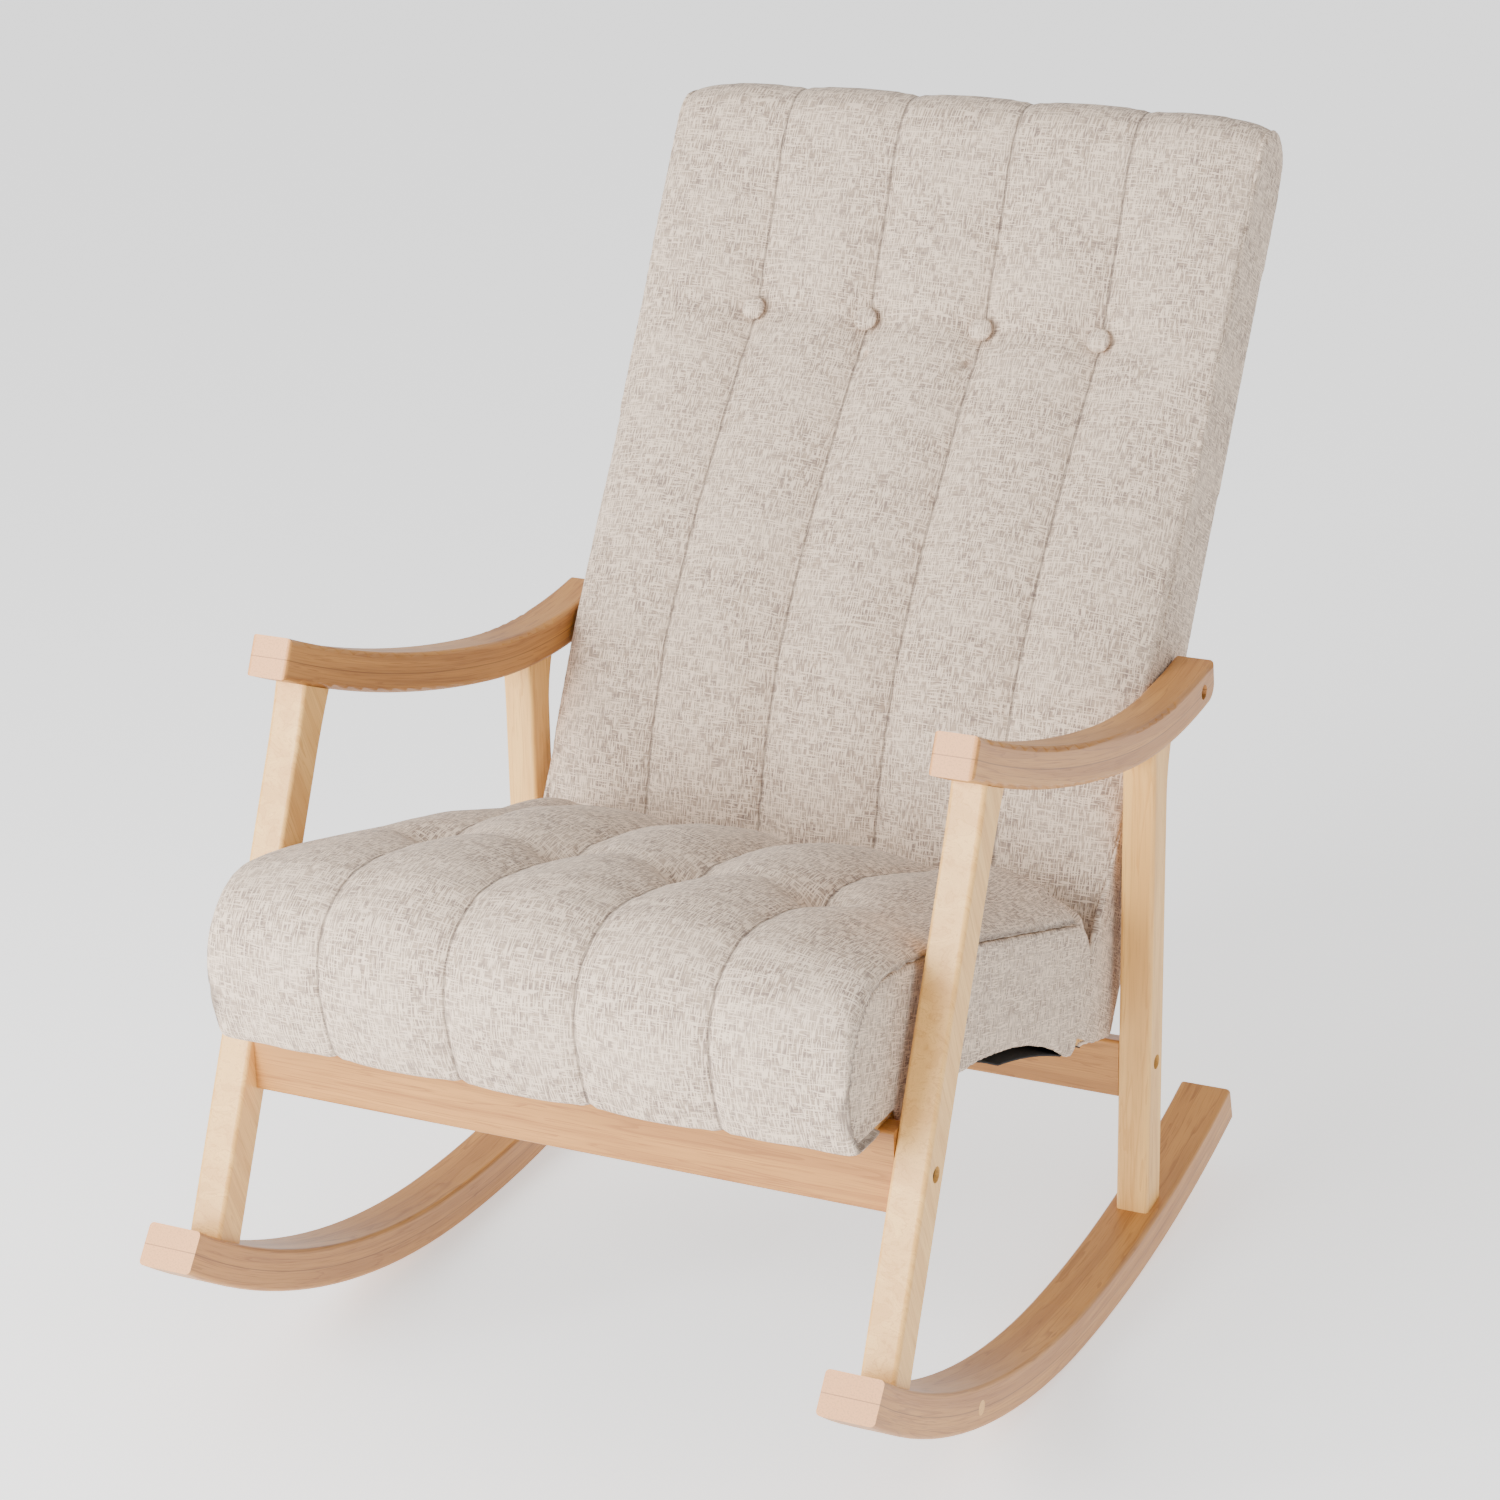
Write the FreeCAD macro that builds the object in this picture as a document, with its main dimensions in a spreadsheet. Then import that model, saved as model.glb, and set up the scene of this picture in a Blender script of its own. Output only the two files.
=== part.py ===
import FreeCAD, Part
import math
import os
import re
import Sketcher
from FreeCAD import Placement, Rotation, Vector

# High-back rocking chair with a light wooden frame and a channelled, tufted seat and back.
# X runs to the sitter's left, +Y to the rear, +Z up. The floor is Z = 0, and the origin lies
# on the floor under the middle of the chair. The sizes below count from the point where the
# rockers touch the floor, which is origin_reach in front of that middle.

os.makedirs("parts", exist_ok=True)
doc = FreeCAD.newDocument("RockingChair")

# Driving sizes in millimetres and degrees

SIZES = [
    # whole chair
    ("frame_width", 660),
    ("origin_reach", 19.5),
    ("fit_gap", 0.3),
    ("cut_overrun", 5),
    # rockers
    ("rocker_width", 49),
    ("rocker_depth", 36.5),
    ("rocker_rear_radius", 1214),
    ("rocker_front_radius", 805),
    ("rocker_blend_angle", 2.6),
    ("rocker_front_sweep", 36.8),
    ("rocker_rear_sweep", 16.1),
    ("rocker_rounding", 4),
    ("plug_reach", 287),
    ("plug_diameter", 13),
    ("plug_depth", 8),
    # legs
    ("leg_width", 30.4),
    ("leg_rounding", 4),
    ("front_leg_depth", 36),
    ("front_leg_lean", 23.5),
    ("front_leg_floor_reach", 511),
    ("front_leg_flare", 3),
    ("front_leg_flare_length", 60),
    ("rear_leg_depth", 34),
    ("rear_leg_reach", 128),
    ("rear_leg_flare_length", 50),
    ("rear_leg_flare", 9),
    ("rear_leg_front_flare", 2),
    # armrests
    ("arm_width", 38),
    ("arm_depth", 35),
    ("arm_low_reach", 176),
    ("arm_height", 519),
    ("arm_rear_radius", 623),
    ("arm_front_radius", 1503),
    ("arm_blend_angle", 11.3),
    ("arm_front_sweep", 24.7),
    ("arm_rear_sweep", 8.6),
    ("arm_end_rounding", 16),
    ("arm_rounding", 4.5),
    # cross rails of the frame
    ("front_rail_reach", 370),
    ("front_rail_depth", 24),
    ("front_rail_bottom", 270),
    ("front_rail_height", 71),
    ("rear_rail_depth", 30),
    ("rear_rail_bottom", 153),
    ("rail_rounding", 3),
    # bolts with a hexagon socket, cross dowels and tee nuts
    ("bolt_diameter", 6),
    ("bolt_length", 60),
    ("bolt_head_diameter", 12.6),
    ("bolt_head_height", 6),
    ("bolt_recess", 4),
    ("bolt_bore_clearance", 0.5),
    ("socket_width", 5),
    ("socket_depth", 3.2),
    ("cross_dowel_diameter", 10),
    ("cross_dowel_length", 18),
    ("cross_dowel_inset", 28),
    ("tee_flange_diameter", 19),
    ("tee_flange_thickness", 1.5),
    ("tee_barrel_diameter", 8),
    ("tee_barrel_length", 9),
    ("arm_bolt_reach", 242),
    ("arm_bolt_height", 505),
    ("rear_bolt_height", 187),
    # wooden dowels between legs, rockers and arms
    ("dowel_diameter", 8),
    ("dowel_length", 40),
    ("dowel_spacing", 17),
    ("dowel_clearance", 0.1),
    # seat, in its own frame that slopes down to the rear
    ("seat_slope", 17.8),
    ("seat_reach", 343),
    ("seat_corner_height", 315),
    ("seat_half_width", 283),
    ("seat_cover_thickness", 6),
    ("seat_board_thickness", 18),
    ("seat_base_height", 88),
    ("seat_side_height", 153),
    ("seat_arch_front_rise", 55),
    ("seat_arch_front_length", 195),
    ("seat_arch_rear_rise", 41),
    ("seat_front_arch_radius", 400),
    ("seat_rear_arch_radius", 900),
    ("seat_nose_core", 47),
    ("seat_nose_overhang", 126),
    ("seat_brow_radius", 180),
    ("seat_nose_radius", 54),
    ("seat_chin_radius", 85),
    ("seat_bolt_spacing", 180),
    ("seat_pad_run", 280),
    ("seat_pad_thickness", 92),
    ("seat_pad_crown", 17),
    ("seat_edge_drop", 27),
    ("seat_front_rail_depth", 40),
    ("seat_rear_rail_depth", 20),
    ("seat_rear_rail_bottom", 10),
    ("dust_cover_thickness", 1.2),
    ("spring_wire", 3.6),
    ("spring_loop_width", 52),
    ("spring_pitch", 33),
    ("spring_spacing", 104),
    ("spring_rest", 12),
    ("bracket_width", 40),
    ("bracket_thickness", 2),
    ("bracket_leg", 30),
    ("bracket_place", 150),
    # back, in its own frame that leans to the rear
    ("back_recline", 30.2),
    ("back_underside_slope", 15),
    ("back_reach", 45),
    ("back_height", 231),
    ("back_length", 821),
    ("back_top_radius", 39),
    ("back_foot_depth", 94),
    ("back_foot_recess", 15),
    ("back_half_width", 280.5),
    ("back_top_half_width", 293),
    ("back_cover_thickness", 3),
    ("back_pad_start", 60),
    ("back_pad_thickness", 40),
    ("back_pad_crown", 14),
    ("back_edge_drop", 26),
    ("back_frame_front", 47),
    ("back_frame_depth", 18),
    ("back_frame_foot", 30),
    ("back_frame_top", 806),
    ("back_lumbar_rise", 29),
    ("back_lumbar_low", 90),
    ("back_lumbar_high", 590),
    ("back_stile_width", 24),
    ("back_rail_height", 50),
    ("strap_thickness", 1.5),
    ("strap_width", 60),
    # channels and buttons
    ("channel_width", 115),
    ("button_diameter", 21),
    ("button_thickness", 8),
    ("button_height", 638),
    ("button_sink", 12),
    ("button_round", 5.5),
]

sheet = doc.addObject("Spreadsheet::Sheet", "Sizes")
for row, (alias, size) in enumerate(SIZES, start=1):
    sheet.set("A%d" % row, alias)
    sheet.set("B%d" % row, str(size))
    sheet.setAlias("B%d" % row, alias)
layout = doc.addObject("Spreadsheet::Sheet", "Layout")
doc.recompute()

OWNER = {alias: "Sizes" for alias, _ in SIZES}

# Places closer than this count as one
TOUCH = 1e-4


def full(expression):
    """Write each alias with the sheet that owns it."""
    return re.sub(r"[a-z_]+[a-z_0-9]*", lambda m: "%s.%s" % (OWNER[m[0]], m[0])
                  if m[0] in OWNER else m[0], str(expression))


def value(expression):
    """Read a number from an expression on the sheets."""
    return float(layout.evalExpression(full(expression)))


def derive(alias, expression):
    """Add a worked-out size to the layout sheet."""
    row = sum(1 for owner in OWNER.values() if owner == "Layout") + 1
    layout.set("A%d" % row, alias)
    layout.set("B%d" % row, "=" + full(expression))
    layout.setAlias("B%d" % row, alias)
    layout.recompute()
    OWNER[alias] = "Layout"


def meet(alias, start_y, lean, centre_y, centre_z, radius, side):
    """Point where a line that leans to the rear from (start_y, 0) meets a circle."""
    along = "((%s) - (%s)) * sin(%s) + (%s) * cos(%s)" % (centre_y, start_y, lean, centre_z, lean)
    off = "(((%s) - (%s)) * cos(%s) - (%s) * sin(%s))" % (centre_y, start_y, lean, centre_z, lean)
    derive(alias + "_run", "%s %s sqrt((%s)^2 - %s^2)" % (along, side, radius, off))
    derive(alias + "_y", "(%s) + %s_run * sin(%s)" % (start_y, alias, lean))
    derive(alias + "_z", "%s_run * cos(%s)" % (alias, lean))


def on_circle(alias, centre_y, centre_z, radius, sweep):
    """Point at an angle from straight below a circle's centre, positive to the rear."""
    derive(alias + "_y", "(%s) + (%s) * sin(%s)" % (centre_y, radius, sweep))
    derive(alias + "_z", "(%s) - (%s) * cos(%s)" % (centre_z, radius, sweep))


# Worked-out places of the frame

derive("side_centre", "(frame_width - rocker_width) / 2")
derive("leg_inner", "side_centre - leg_width / 2")
derive("leg_outer", "side_centre + leg_width / 2")
derive("arm_outer", "side_centre + arm_width / 2")

derive("rocker_centre_y", "-(rocker_rear_radius - rocker_front_radius) * sin(rocker_blend_angle)")
derive("rocker_centre_z",
       "rocker_rear_radius - (rocker_rear_radius - rocker_front_radius) * cos(rocker_blend_angle)")
derive("rocker_front_inner", "rocker_front_radius - rocker_depth")
derive("rocker_rear_inner", "rocker_rear_radius - rocker_depth")
on_circle("rocker_toe_low", "rocker_centre_y", "rocker_centre_z", "rocker_front_radius",
          "-rocker_front_sweep")
on_circle("rocker_toe_top", "rocker_centre_y", "rocker_centre_z", "rocker_front_inner",
          "-rocker_front_sweep")
on_circle("rocker_blend_low", "0", "rocker_rear_radius", "rocker_rear_radius",
          "-rocker_blend_angle")
on_circle("rocker_blend_top", "0", "rocker_rear_radius", "rocker_rear_inner",
          "-rocker_blend_angle")
on_circle("rocker_heel_low", "0", "rocker_rear_radius", "rocker_rear_radius", "rocker_rear_sweep")
on_circle("rocker_heel_top", "0", "rocker_rear_radius", "rocker_rear_inner", "rocker_rear_sweep")
derive("plug_height", "rocker_centre_z - sqrt((rocker_front_radius - rocker_depth / 2)^2"
       " - (plug_reach + rocker_centre_y)^2)")

derive("arm_rear_centre_z", "arm_height + arm_rear_radius")
derive("arm_blend_y", "arm_low_reach - arm_rear_radius * sin(arm_blend_angle)")
derive("arm_blend_z", "arm_rear_centre_z - arm_rear_radius * cos(arm_blend_angle)")
derive("arm_front_centre_y", "arm_blend_y + arm_front_radius * sin(arm_blend_angle)")
derive("arm_front_centre_z", "arm_blend_z + arm_front_radius * cos(arm_blend_angle)")
derive("arm_front_outer", "arm_front_radius + arm_depth")
derive("arm_rear_outer", "arm_rear_radius + arm_depth")
on_circle("arm_nose_top", "arm_front_centre_y", "arm_front_centre_z", "arm_front_radius",
          "-arm_front_sweep")
on_circle("arm_nose_low", "arm_front_centre_y", "arm_front_centre_z", "arm_front_outer",
          "-arm_front_sweep")
on_circle("arm_blend_low", "arm_low_reach", "arm_rear_centre_z", "arm_rear_outer",
          "-arm_blend_angle")
on_circle("arm_heel_top", "arm_low_reach", "arm_rear_centre_z", "arm_rear_radius",
          "arm_rear_sweep")
derive("arm_heel_turn", "arm_rear_sweep - arm_end_rounding / arm_rear_outer * 180 / pi")
on_circle("arm_heel_low", "arm_low_reach", "arm_rear_centre_z", "arm_rear_outer", "arm_heel_turn")
on_circle("arm_heel_mid", "arm_low_reach", "arm_rear_centre_z",
          "(arm_rear_outer - arm_end_rounding)", "arm_rear_sweep")

# Front leg: its faces lean, its foot is scribed to the rocker and its head to the arm
derive("front_leg_front", "-front_leg_floor_reach")
derive("front_leg_back", "front_leg_front + front_leg_depth / cos(front_leg_lean)")
derive("front_leg_head_front", "front_leg_front - front_leg_flare / cos(front_leg_lean)")
derive("front_leg_head_back", "front_leg_back + front_leg_flare / cos(front_leg_lean)")
derive("front_leg_middle", "(front_leg_front + front_leg_back) / 2")
for tag, start in (("front", "front_leg_front"), ("back", "front_leg_back"),
                   ("middle", "front_leg_middle")):
    meet("front_foot_" + tag, start, "front_leg_lean", "rocker_centre_y", "rocker_centre_z",
         "rocker_front_inner", "-")
for tag, start in (("front", "front_leg_head_front"), ("back", "front_leg_head_back"),
                   ("middle", "front_leg_middle")):
    meet("front_head_" + tag, start, "front_leg_lean", "arm_front_centre_y",
         "arm_front_centre_z", "arm_front_outer", "-")
for tag in ("front", "back"):
    derive("front_neck_%s_run" % tag, "front_head_%s_run - front_leg_flare_length" % tag)
    derive("front_neck_%s_y" % tag,
           "front_leg_%s + front_neck_%s_run * sin(front_leg_lean)" % (tag, tag))
    derive("front_neck_%s_z" % tag, "front_neck_%s_run * cos(front_leg_lean)" % tag)
derive("front_leg_flare_radius",
       "(front_leg_flare_length^2 + front_leg_flare^2) / (2 * front_leg_flare)")

# Rear leg: upright, with its rear edge sweeping out to the arm
derive("rear_leg_back", "rear_leg_reach + rear_leg_depth")
derive("rear_leg_middle", "rear_leg_reach + rear_leg_depth / 2")
derive("rear_head_front_reach", "rear_leg_reach - rear_leg_front_flare")
derive("rear_head_back_reach", "rear_leg_back + rear_leg_flare")
for tag, start in (("front", "rear_leg_reach"), ("back", "rear_leg_back"),
                   ("middle", "rear_leg_middle")):
    derive("rear_foot_%s_z" % tag,
           "rocker_rear_radius - sqrt(rocker_rear_inner^2 - %s^2)" % start)
for tag, start in (("front", "rear_head_front_reach"), ("back", "rear_head_back_reach"),
                   ("middle", "rear_leg_middle")):
    derive("rear_head_%s_z" % tag,
           "arm_rear_centre_z - sqrt(arm_rear_outer^2 - (%s - arm_low_reach)^2)" % start)
derive("rear_neck_z", "rear_head_back_z - rear_leg_flare_length")
derive("rear_flare_radius",
       "((rear_head_back_z - rear_neck_z)^2 + rear_leg_flare^2) / (2 * rear_leg_flare)")
derive("rear_front_flare_radius",
       "((rear_head_front_z - rear_neck_z)^2 + rear_leg_front_flare^2)"
       " / (2 * rear_leg_front_flare)")

derive("front_rail_centre_y", "-front_rail_reach + front_rail_depth / 2")
derive("front_rail_top", "front_rail_bottom + front_rail_height")
derive("front_bolt_height", "front_rail_bottom + front_rail_height / 2")
derive("rear_rail_front", "rear_leg_middle - rear_rail_depth / 2")
derive("rear_rail_back", "rear_leg_middle + rear_rail_depth / 2")
# The rear rail's top is planed to the underside of the back
for edge in ("front", "back"):
    derive("rear_rail_%s_top" % edge, "back_height - fit_gap / cos(back_underside_slope)"
           " - (rear_rail_%s - back_reach) * tan(back_underside_slope)" % edge)

# Bolts: head set back in a counterbore, shank into the rail or the back
derive("bolt_bore", "bolt_diameter + bolt_bore_clearance")
derive("bolt_counterbore", "bolt_head_diameter + 2 * bolt_bore_clearance")
derive("bolt_sink", "bolt_recess + bolt_head_height")


def outline(body, name, plane, points, arcs=None, base=None, turn=None):
    """Closed sketch through named places; arcs maps an edge to (radius, way round)."""
    arcs = arcs or {}
    sketch = body.newObject("Sketcher::SketchObject", name)
    support = [f for f in body.Origin.OriginFeatures if f.Role == plane][0]
    sketch.AttachmentSupport = [(support, "")]
    sketch.MapMode = "FlatFace"
    place_sketch(sketch, base, turn)
    spots = [Vector(value(u), value(v), 0) for u, v in points]
    ends = []
    for index, spot in enumerate(spots):
        other = spots[(index + 1) % len(spots)]
        if index not in arcs:
            sketch.addGeometry(Part.LineSegment(spot, other))
            ends.append((1, 2))
            continue
        radius, way = arcs[index]
        reach = value(radius)
        first, last = (spot, other) if way == "left" else (other, spot)
        chord = last - first
        middle = (first + last) / 2
        rise = math.sqrt(max(reach * reach - chord.Length * chord.Length / 4, 0))
        across = Vector(-chord.y, chord.x, 0).normalize()
        centre = middle + across * rise
        begin = math.atan2(first.y - centre.y, first.x - centre.x)
        finish = math.atan2(last.y - centre.y, last.x - centre.x)
        if finish < begin:
            finish += 2 * math.pi
        circle = Part.Circle(centre, Vector(0, 0, 1), reach)
        sketch.addGeometry(Part.ArcOfCircle(circle, begin, finish))
        ends.append((1, 2) if way == "left" else (2, 1))
    count = len(spots)
    for index in range(count):
        following = (index + 1) % count
        sketch.addConstraint(Sketcher.Constraint(
            "Coincident", index, ends[index][1], following, ends[following][0]))
    for index, (u, v) in enumerate(points):
        spot = spots[index]
        for kind, number, text in (("DistanceX", spot.x, u), ("DistanceY", spot.y, v)):
            key = sketch.addConstraint(Sketcher.Constraint(
                kind, -1, 1, index, ends[index][0], number))
            sketch.setExpression("Constraints[%d]" % key, full(text))
    for index, (radius, way) in arcs.items():
        key = sketch.addConstraint(Sketcher.Constraint("Radius", index, value(radius)))
        sketch.setExpression("Constraints[%d]" % key, full(radius))
    return sketch


def circles(body, name, plane, rounds, base=None, turn=None):
    """Sketch of full circles, each given as its centre and diameter."""
    sketch = body.newObject("Sketcher::SketchObject", name)
    support = [f for f in body.Origin.OriginFeatures if f.Role == plane][0]
    sketch.AttachmentSupport = [(support, "")]
    sketch.MapMode = "FlatFace"
    place_sketch(sketch, base, turn)
    for index, (u, v, diameter) in enumerate(rounds):
        spot = Vector(value(u), value(v), 0)
        half = value(diameter) / 2
        sketch.addGeometry(Part.Circle(spot, Vector(0, 0, 1), half))
        for kind, number, text in (("DistanceX", spot.x, u), ("DistanceY", spot.y, v)):
            key = sketch.addConstraint(Sketcher.Constraint(kind, -1, 1, index, 3, number))
            sketch.setExpression("Constraints[%d]" % key, full(text))
        key = sketch.addConstraint(Sketcher.Constraint("Diameter", index, 2 * half))
        sketch.setExpression("Constraints[%d]" % key, full(diameter))
    return sketch


def place_sketch(sketch, base, turn):
    """Offset a sketch from its plane, turned about the X axis first."""
    if turn is not None:
        sketch.AttachmentOffset = Placement(
            Vector(), Rotation(Vector(1, 0, 0), value(turn)))
        sketch.setExpression("AttachmentOffset.Rotation.Angle", full(turn))
    for axis, text in zip("xyz", base or ()):
        sketch.setExpression("AttachmentOffset.Base." + axis, full(text))


def new_body(label):
    body = doc.addObject("PartDesign::Body", label)
    body.Label = label
    return body


def pad(body, sketch, length, centred=False, back=False):
    feature = body.newObject("PartDesign::Pad", body.Name + "Pad")
    feature.Profile = sketch
    feature.Midplane = centred
    feature.Reversed = back
    feature.setExpression("Length", full(length))
    return feature


def pocket(body, sketch, length, centred=False, back=False):
    """Cut a sketch out of the body and make sure that the cut removed something."""
    doc.recompute()
    before = body.Shape.Volume
    feature = body.newObject("PartDesign::Pocket", body.Name + "Pocket")
    feature.Profile = sketch
    feature.Midplane = centred
    feature.Reversed = back
    feature.setExpression("Length", full(length))
    doc.recompute()
    if not body.Shape.Volume < before:
        raise ValueError("%s cuts nothing in %s" % (sketch.Name, body.Label))
    return feature


def round_edges(body, radius, wanted):
    """Fillet the edges of the body's tip that the test picks."""
    doc.recompute()
    tip = body.Tip
    names = ["Edge%d" % (n + 1) for n, edge in enumerate(tip.Shape.Edges) if wanted(edge)]
    feature = body.newObject("PartDesign::Fillet", body.Name + "Fillet")
    feature.Base = (tip, names)
    feature.setExpression("Radius", full(radius))
    return feature


def rim(x_low, x_high, keep=None):
    """Test for edges that lie in one of two side planes."""
    planes = (x_low, x_high)

    def wanted(edge):
        box = edge.BoundBox
        flat = any(abs(box.XMin - x) < TOUCH and abs(box.XMax - x) < TOUCH for x in planes)
        return flat and (keep is None or keep(edge))
    return wanted


def attitude(body, angle, reach, height):
    """Turn a body about the X axis and carry its origin to its place."""
    body.Placement = Placement(Vector(), Rotation(Vector(1, 0, 0), value(angle)))
    body.setExpression("Placement.Rotation.Angle", full(angle))
    body.setExpression("Placement.Base.y", full("(%s) - origin_reach" % reach))
    body.setExpression("Placement.Base.z", full(height))


parts = []


def hand_in(item):
    """Keep a finished piece; the chair's middle goes over the origin."""
    parts.append(item)
    if not item.ExpressionEngine:
        item.setExpression("Placement.Base.y", full("-origin_reach"))
    return item


SIDES = (("right", -1), ("left", 1))


def side_start(side, width):
    """X of the lower face of a piece that is centred on one side frame."""
    return "%d * side_centre - %s / 2" % (side, width)


def bolt_hole(body, side, outer, width, y, z, name):
    """Counterbored hole from the outer face of a side piece."""
    away = "%d * (%s + cut_overrun)" % (side, outer)
    bore = circles(body, name + "Bore", "YZ_Plane", [(y, z, "bolt_bore")], ("0", "0", away))
    pocket(body, bore, width + " + 2 * cut_overrun", back=side < 0)
    sink = circles(body, name + "Sink", "YZ_Plane", [(y, z, "bolt_counterbore")],
                   ("0", "0", away))
    pocket(body, sink, "bolt_sink + cut_overrun", back=side < 0)


def dowel_hole(body, side, y, z, lean, name):
    """Pair of dowel holes, half in each of the two pieces that meet here."""
    sketch = circles(body, name, "XY_Plane", [
        ("%d * side_centre" % side, "-dowel_spacing / 2", "dowel_diameter + 2 * dowel_clearance"),
        ("%d * side_centre" % side, "dowel_spacing / 2", "dowel_diameter + 2 * dowel_clearance"),
    ], ("0", y, z), "-(%s)" % lean)
    pocket(body, sketch, "dowel_length + 2 * dowel_clearance", centred=True)


JOINTS = (
    ("front_foot_middle_y", "front_foot_middle_z", "front_leg_lean"),
    ("front_head_middle_y", "front_head_middle_z", "front_leg_lean"),
    ("rear_leg_middle", "rear_foot_middle_z", "0"),
    ("rear_leg_middle", "rear_head_middle_z", "0"),
)

# Rockers, legs and armrests, right and left

for word, side in SIDES:
    rocker = new_body("rocker_" + word)
    profile = outline(rocker, "RockerOutline" + word, "YZ_Plane", [
        ("rocker_toe_low_y", "rocker_toe_low_z"),
        ("rocker_blend_low_y", "rocker_blend_low_z"),
        ("rocker_heel_low_y", "rocker_heel_low_z"),
        ("rocker_heel_top_y", "rocker_heel_top_z"),
        ("rocker_blend_top_y", "rocker_blend_top_z"),
        ("rocker_toe_top_y", "rocker_toe_top_z"),
    ], {0: ("rocker_front_radius", "left"), 1: ("rocker_rear_radius", "left"),
        3: ("rocker_rear_inner", "right"), 4: ("rocker_front_inner", "right")},
        ("0", "0", side_start(side, "rocker_width")))
    pad(rocker, profile, "rocker_width")
    low = value(side_start(side, "rocker_width"))
    reach = 2 * value("rocker_depth")
    round_edges(rocker, "rocker_rounding", rim(
        low, low + value("rocker_width"), lambda e: e.Length > reach))
    for number, joint in enumerate(JOINTS):
        if "foot" in joint[1]:
            dowel_hole(rocker, side, *joint, name="RockerDowel%s%d" % (word, number))
    plug_seat = circles(rocker, "PlugSeat" + word, "YZ_Plane",
                        [("-plug_reach", "plug_height", "plug_diameter")],
                        ("0", "0", "%d * (frame_width / 2 + cut_overrun)" % side))
    pocket(rocker, plug_seat, "plug_depth + cut_overrun", back=side < 0)
    hand_in(rocker)

    front_leg = new_body("front_leg_" + word)
    profile = outline(front_leg, "FrontLegOutline" + word, "YZ_Plane", [
        ("front_foot_front_y", "front_foot_front_z"),
        ("front_foot_back_y", "front_foot_back_z"),
        ("front_neck_back_y", "front_neck_back_z"),
        ("front_head_back_y", "front_head_back_z"),
        ("front_head_front_y", "front_head_front_z"),
        ("front_neck_front_y", "front_neck_front_z"),
    ], {0: ("rocker_front_inner", "left"), 2: ("front_leg_flare_radius", "right"),
        3: ("arm_front_outer", "right"), 4: ("front_leg_flare_radius", "right")},
        ("0", "0", side_start(side, "leg_width")))
    pad(front_leg, profile, "leg_width")
    low = value(side_start(side, "leg_width"))
    ends = (value("front_foot_middle_z"), value("front_head_middle_z"))
    reach = value("front_leg_depth")
    round_edges(front_leg, "leg_rounding", rim(
        low, low + value("leg_width"),
        lambda e: all(abs(e.CenterOfMass.z - z) > reach / 2 for z in ends)))
    for number, joint in enumerate(JOINTS[:2]):
        dowel_hole(front_leg, side, *joint, name="FrontLegDowel%s%d" % (word, number))
    bolt_hole(front_leg, side, "leg_outer", "leg_width", "front_rail_centre_y",
              "front_bolt_height", "FrontLegBolt" + word)
    hand_in(front_leg)

    rear_leg = new_body("rear_leg_" + word)
    profile = outline(rear_leg, "RearLegOutline" + word, "YZ_Plane", [
        ("rear_leg_reach", "rear_foot_front_z"),
        ("rear_leg_back", "rear_foot_back_z"),
        ("rear_leg_back", "rear_neck_z"),
        ("rear_head_back_reach", "rear_head_back_z"),
        ("rear_head_front_reach", "rear_head_front_z"),
        ("rear_leg_reach", "rear_neck_z"),
    ], {0: ("rocker_rear_inner", "left"), 2: ("rear_flare_radius", "right"),
        3: ("arm_rear_outer", "right"), 4: ("rear_front_flare_radius", "right")},
        ("0", "0", side_start(side, "leg_width")))
    pad(rear_leg, profile, "leg_width")
    ends = (value("rear_foot_middle_z"), value("rear_head_middle_z"))
    reach = value("rear_leg_depth")
    round_edges(rear_leg, "leg_rounding", rim(
        low, low + value("leg_width"),
        lambda e: all(abs(e.CenterOfMass.z - z) > reach / 2 for z in ends)))
    for number, joint in enumerate(JOINTS[2:]):
        dowel_hole(rear_leg, side, *joint, name="RearLegDowel%s%d" % (word, number))
    bolt_hole(rear_leg, side, "leg_outer", "leg_width", "rear_leg_middle", "rear_bolt_height",
              "RearLegBolt" + word)
    hand_in(rear_leg)

    arm = new_body("armrest_" + word)
    profile = outline(arm, "ArmOutline" + word, "YZ_Plane", [
        ("arm_nose_low_y", "arm_nose_low_z"),
        ("arm_blend_low_y", "arm_blend_low_z"),
        ("arm_heel_low_y", "arm_heel_low_z"),
        ("arm_heel_mid_y", "arm_heel_mid_z"),
        ("arm_heel_top_y", "arm_heel_top_z"),
        ("arm_blend_y", "arm_blend_z"),
        ("arm_nose_top_y", "arm_nose_top_z"),
    ], {0: ("arm_front_outer", "left"), 1: ("arm_rear_outer", "left"),
        2: ("arm_end_rounding", "left"), 4: ("arm_rear_radius", "right"),
        5: ("arm_front_radius", "right")},
        ("0", "0", side_start(side, "arm_width")))
    pad(arm, profile, "arm_width")
    low = value(side_start(side, "arm_width"))
    round_edges(arm, "arm_rounding", rim(low, low + value("arm_width")))
    for number, joint in enumerate(JOINTS):
        if "head" in joint[1]:
            dowel_hole(arm, side, *joint, name="ArmDowel%s%d" % (word, number))
    bolt_hole(arm, side, "arm_outer", "arm_width", "arm_bolt_reach", "arm_bolt_height",
              "ArmBolt" + word)
    hand_in(arm)

# Cross rails of the frame, with bores for the bolts and their cross dowels

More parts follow.
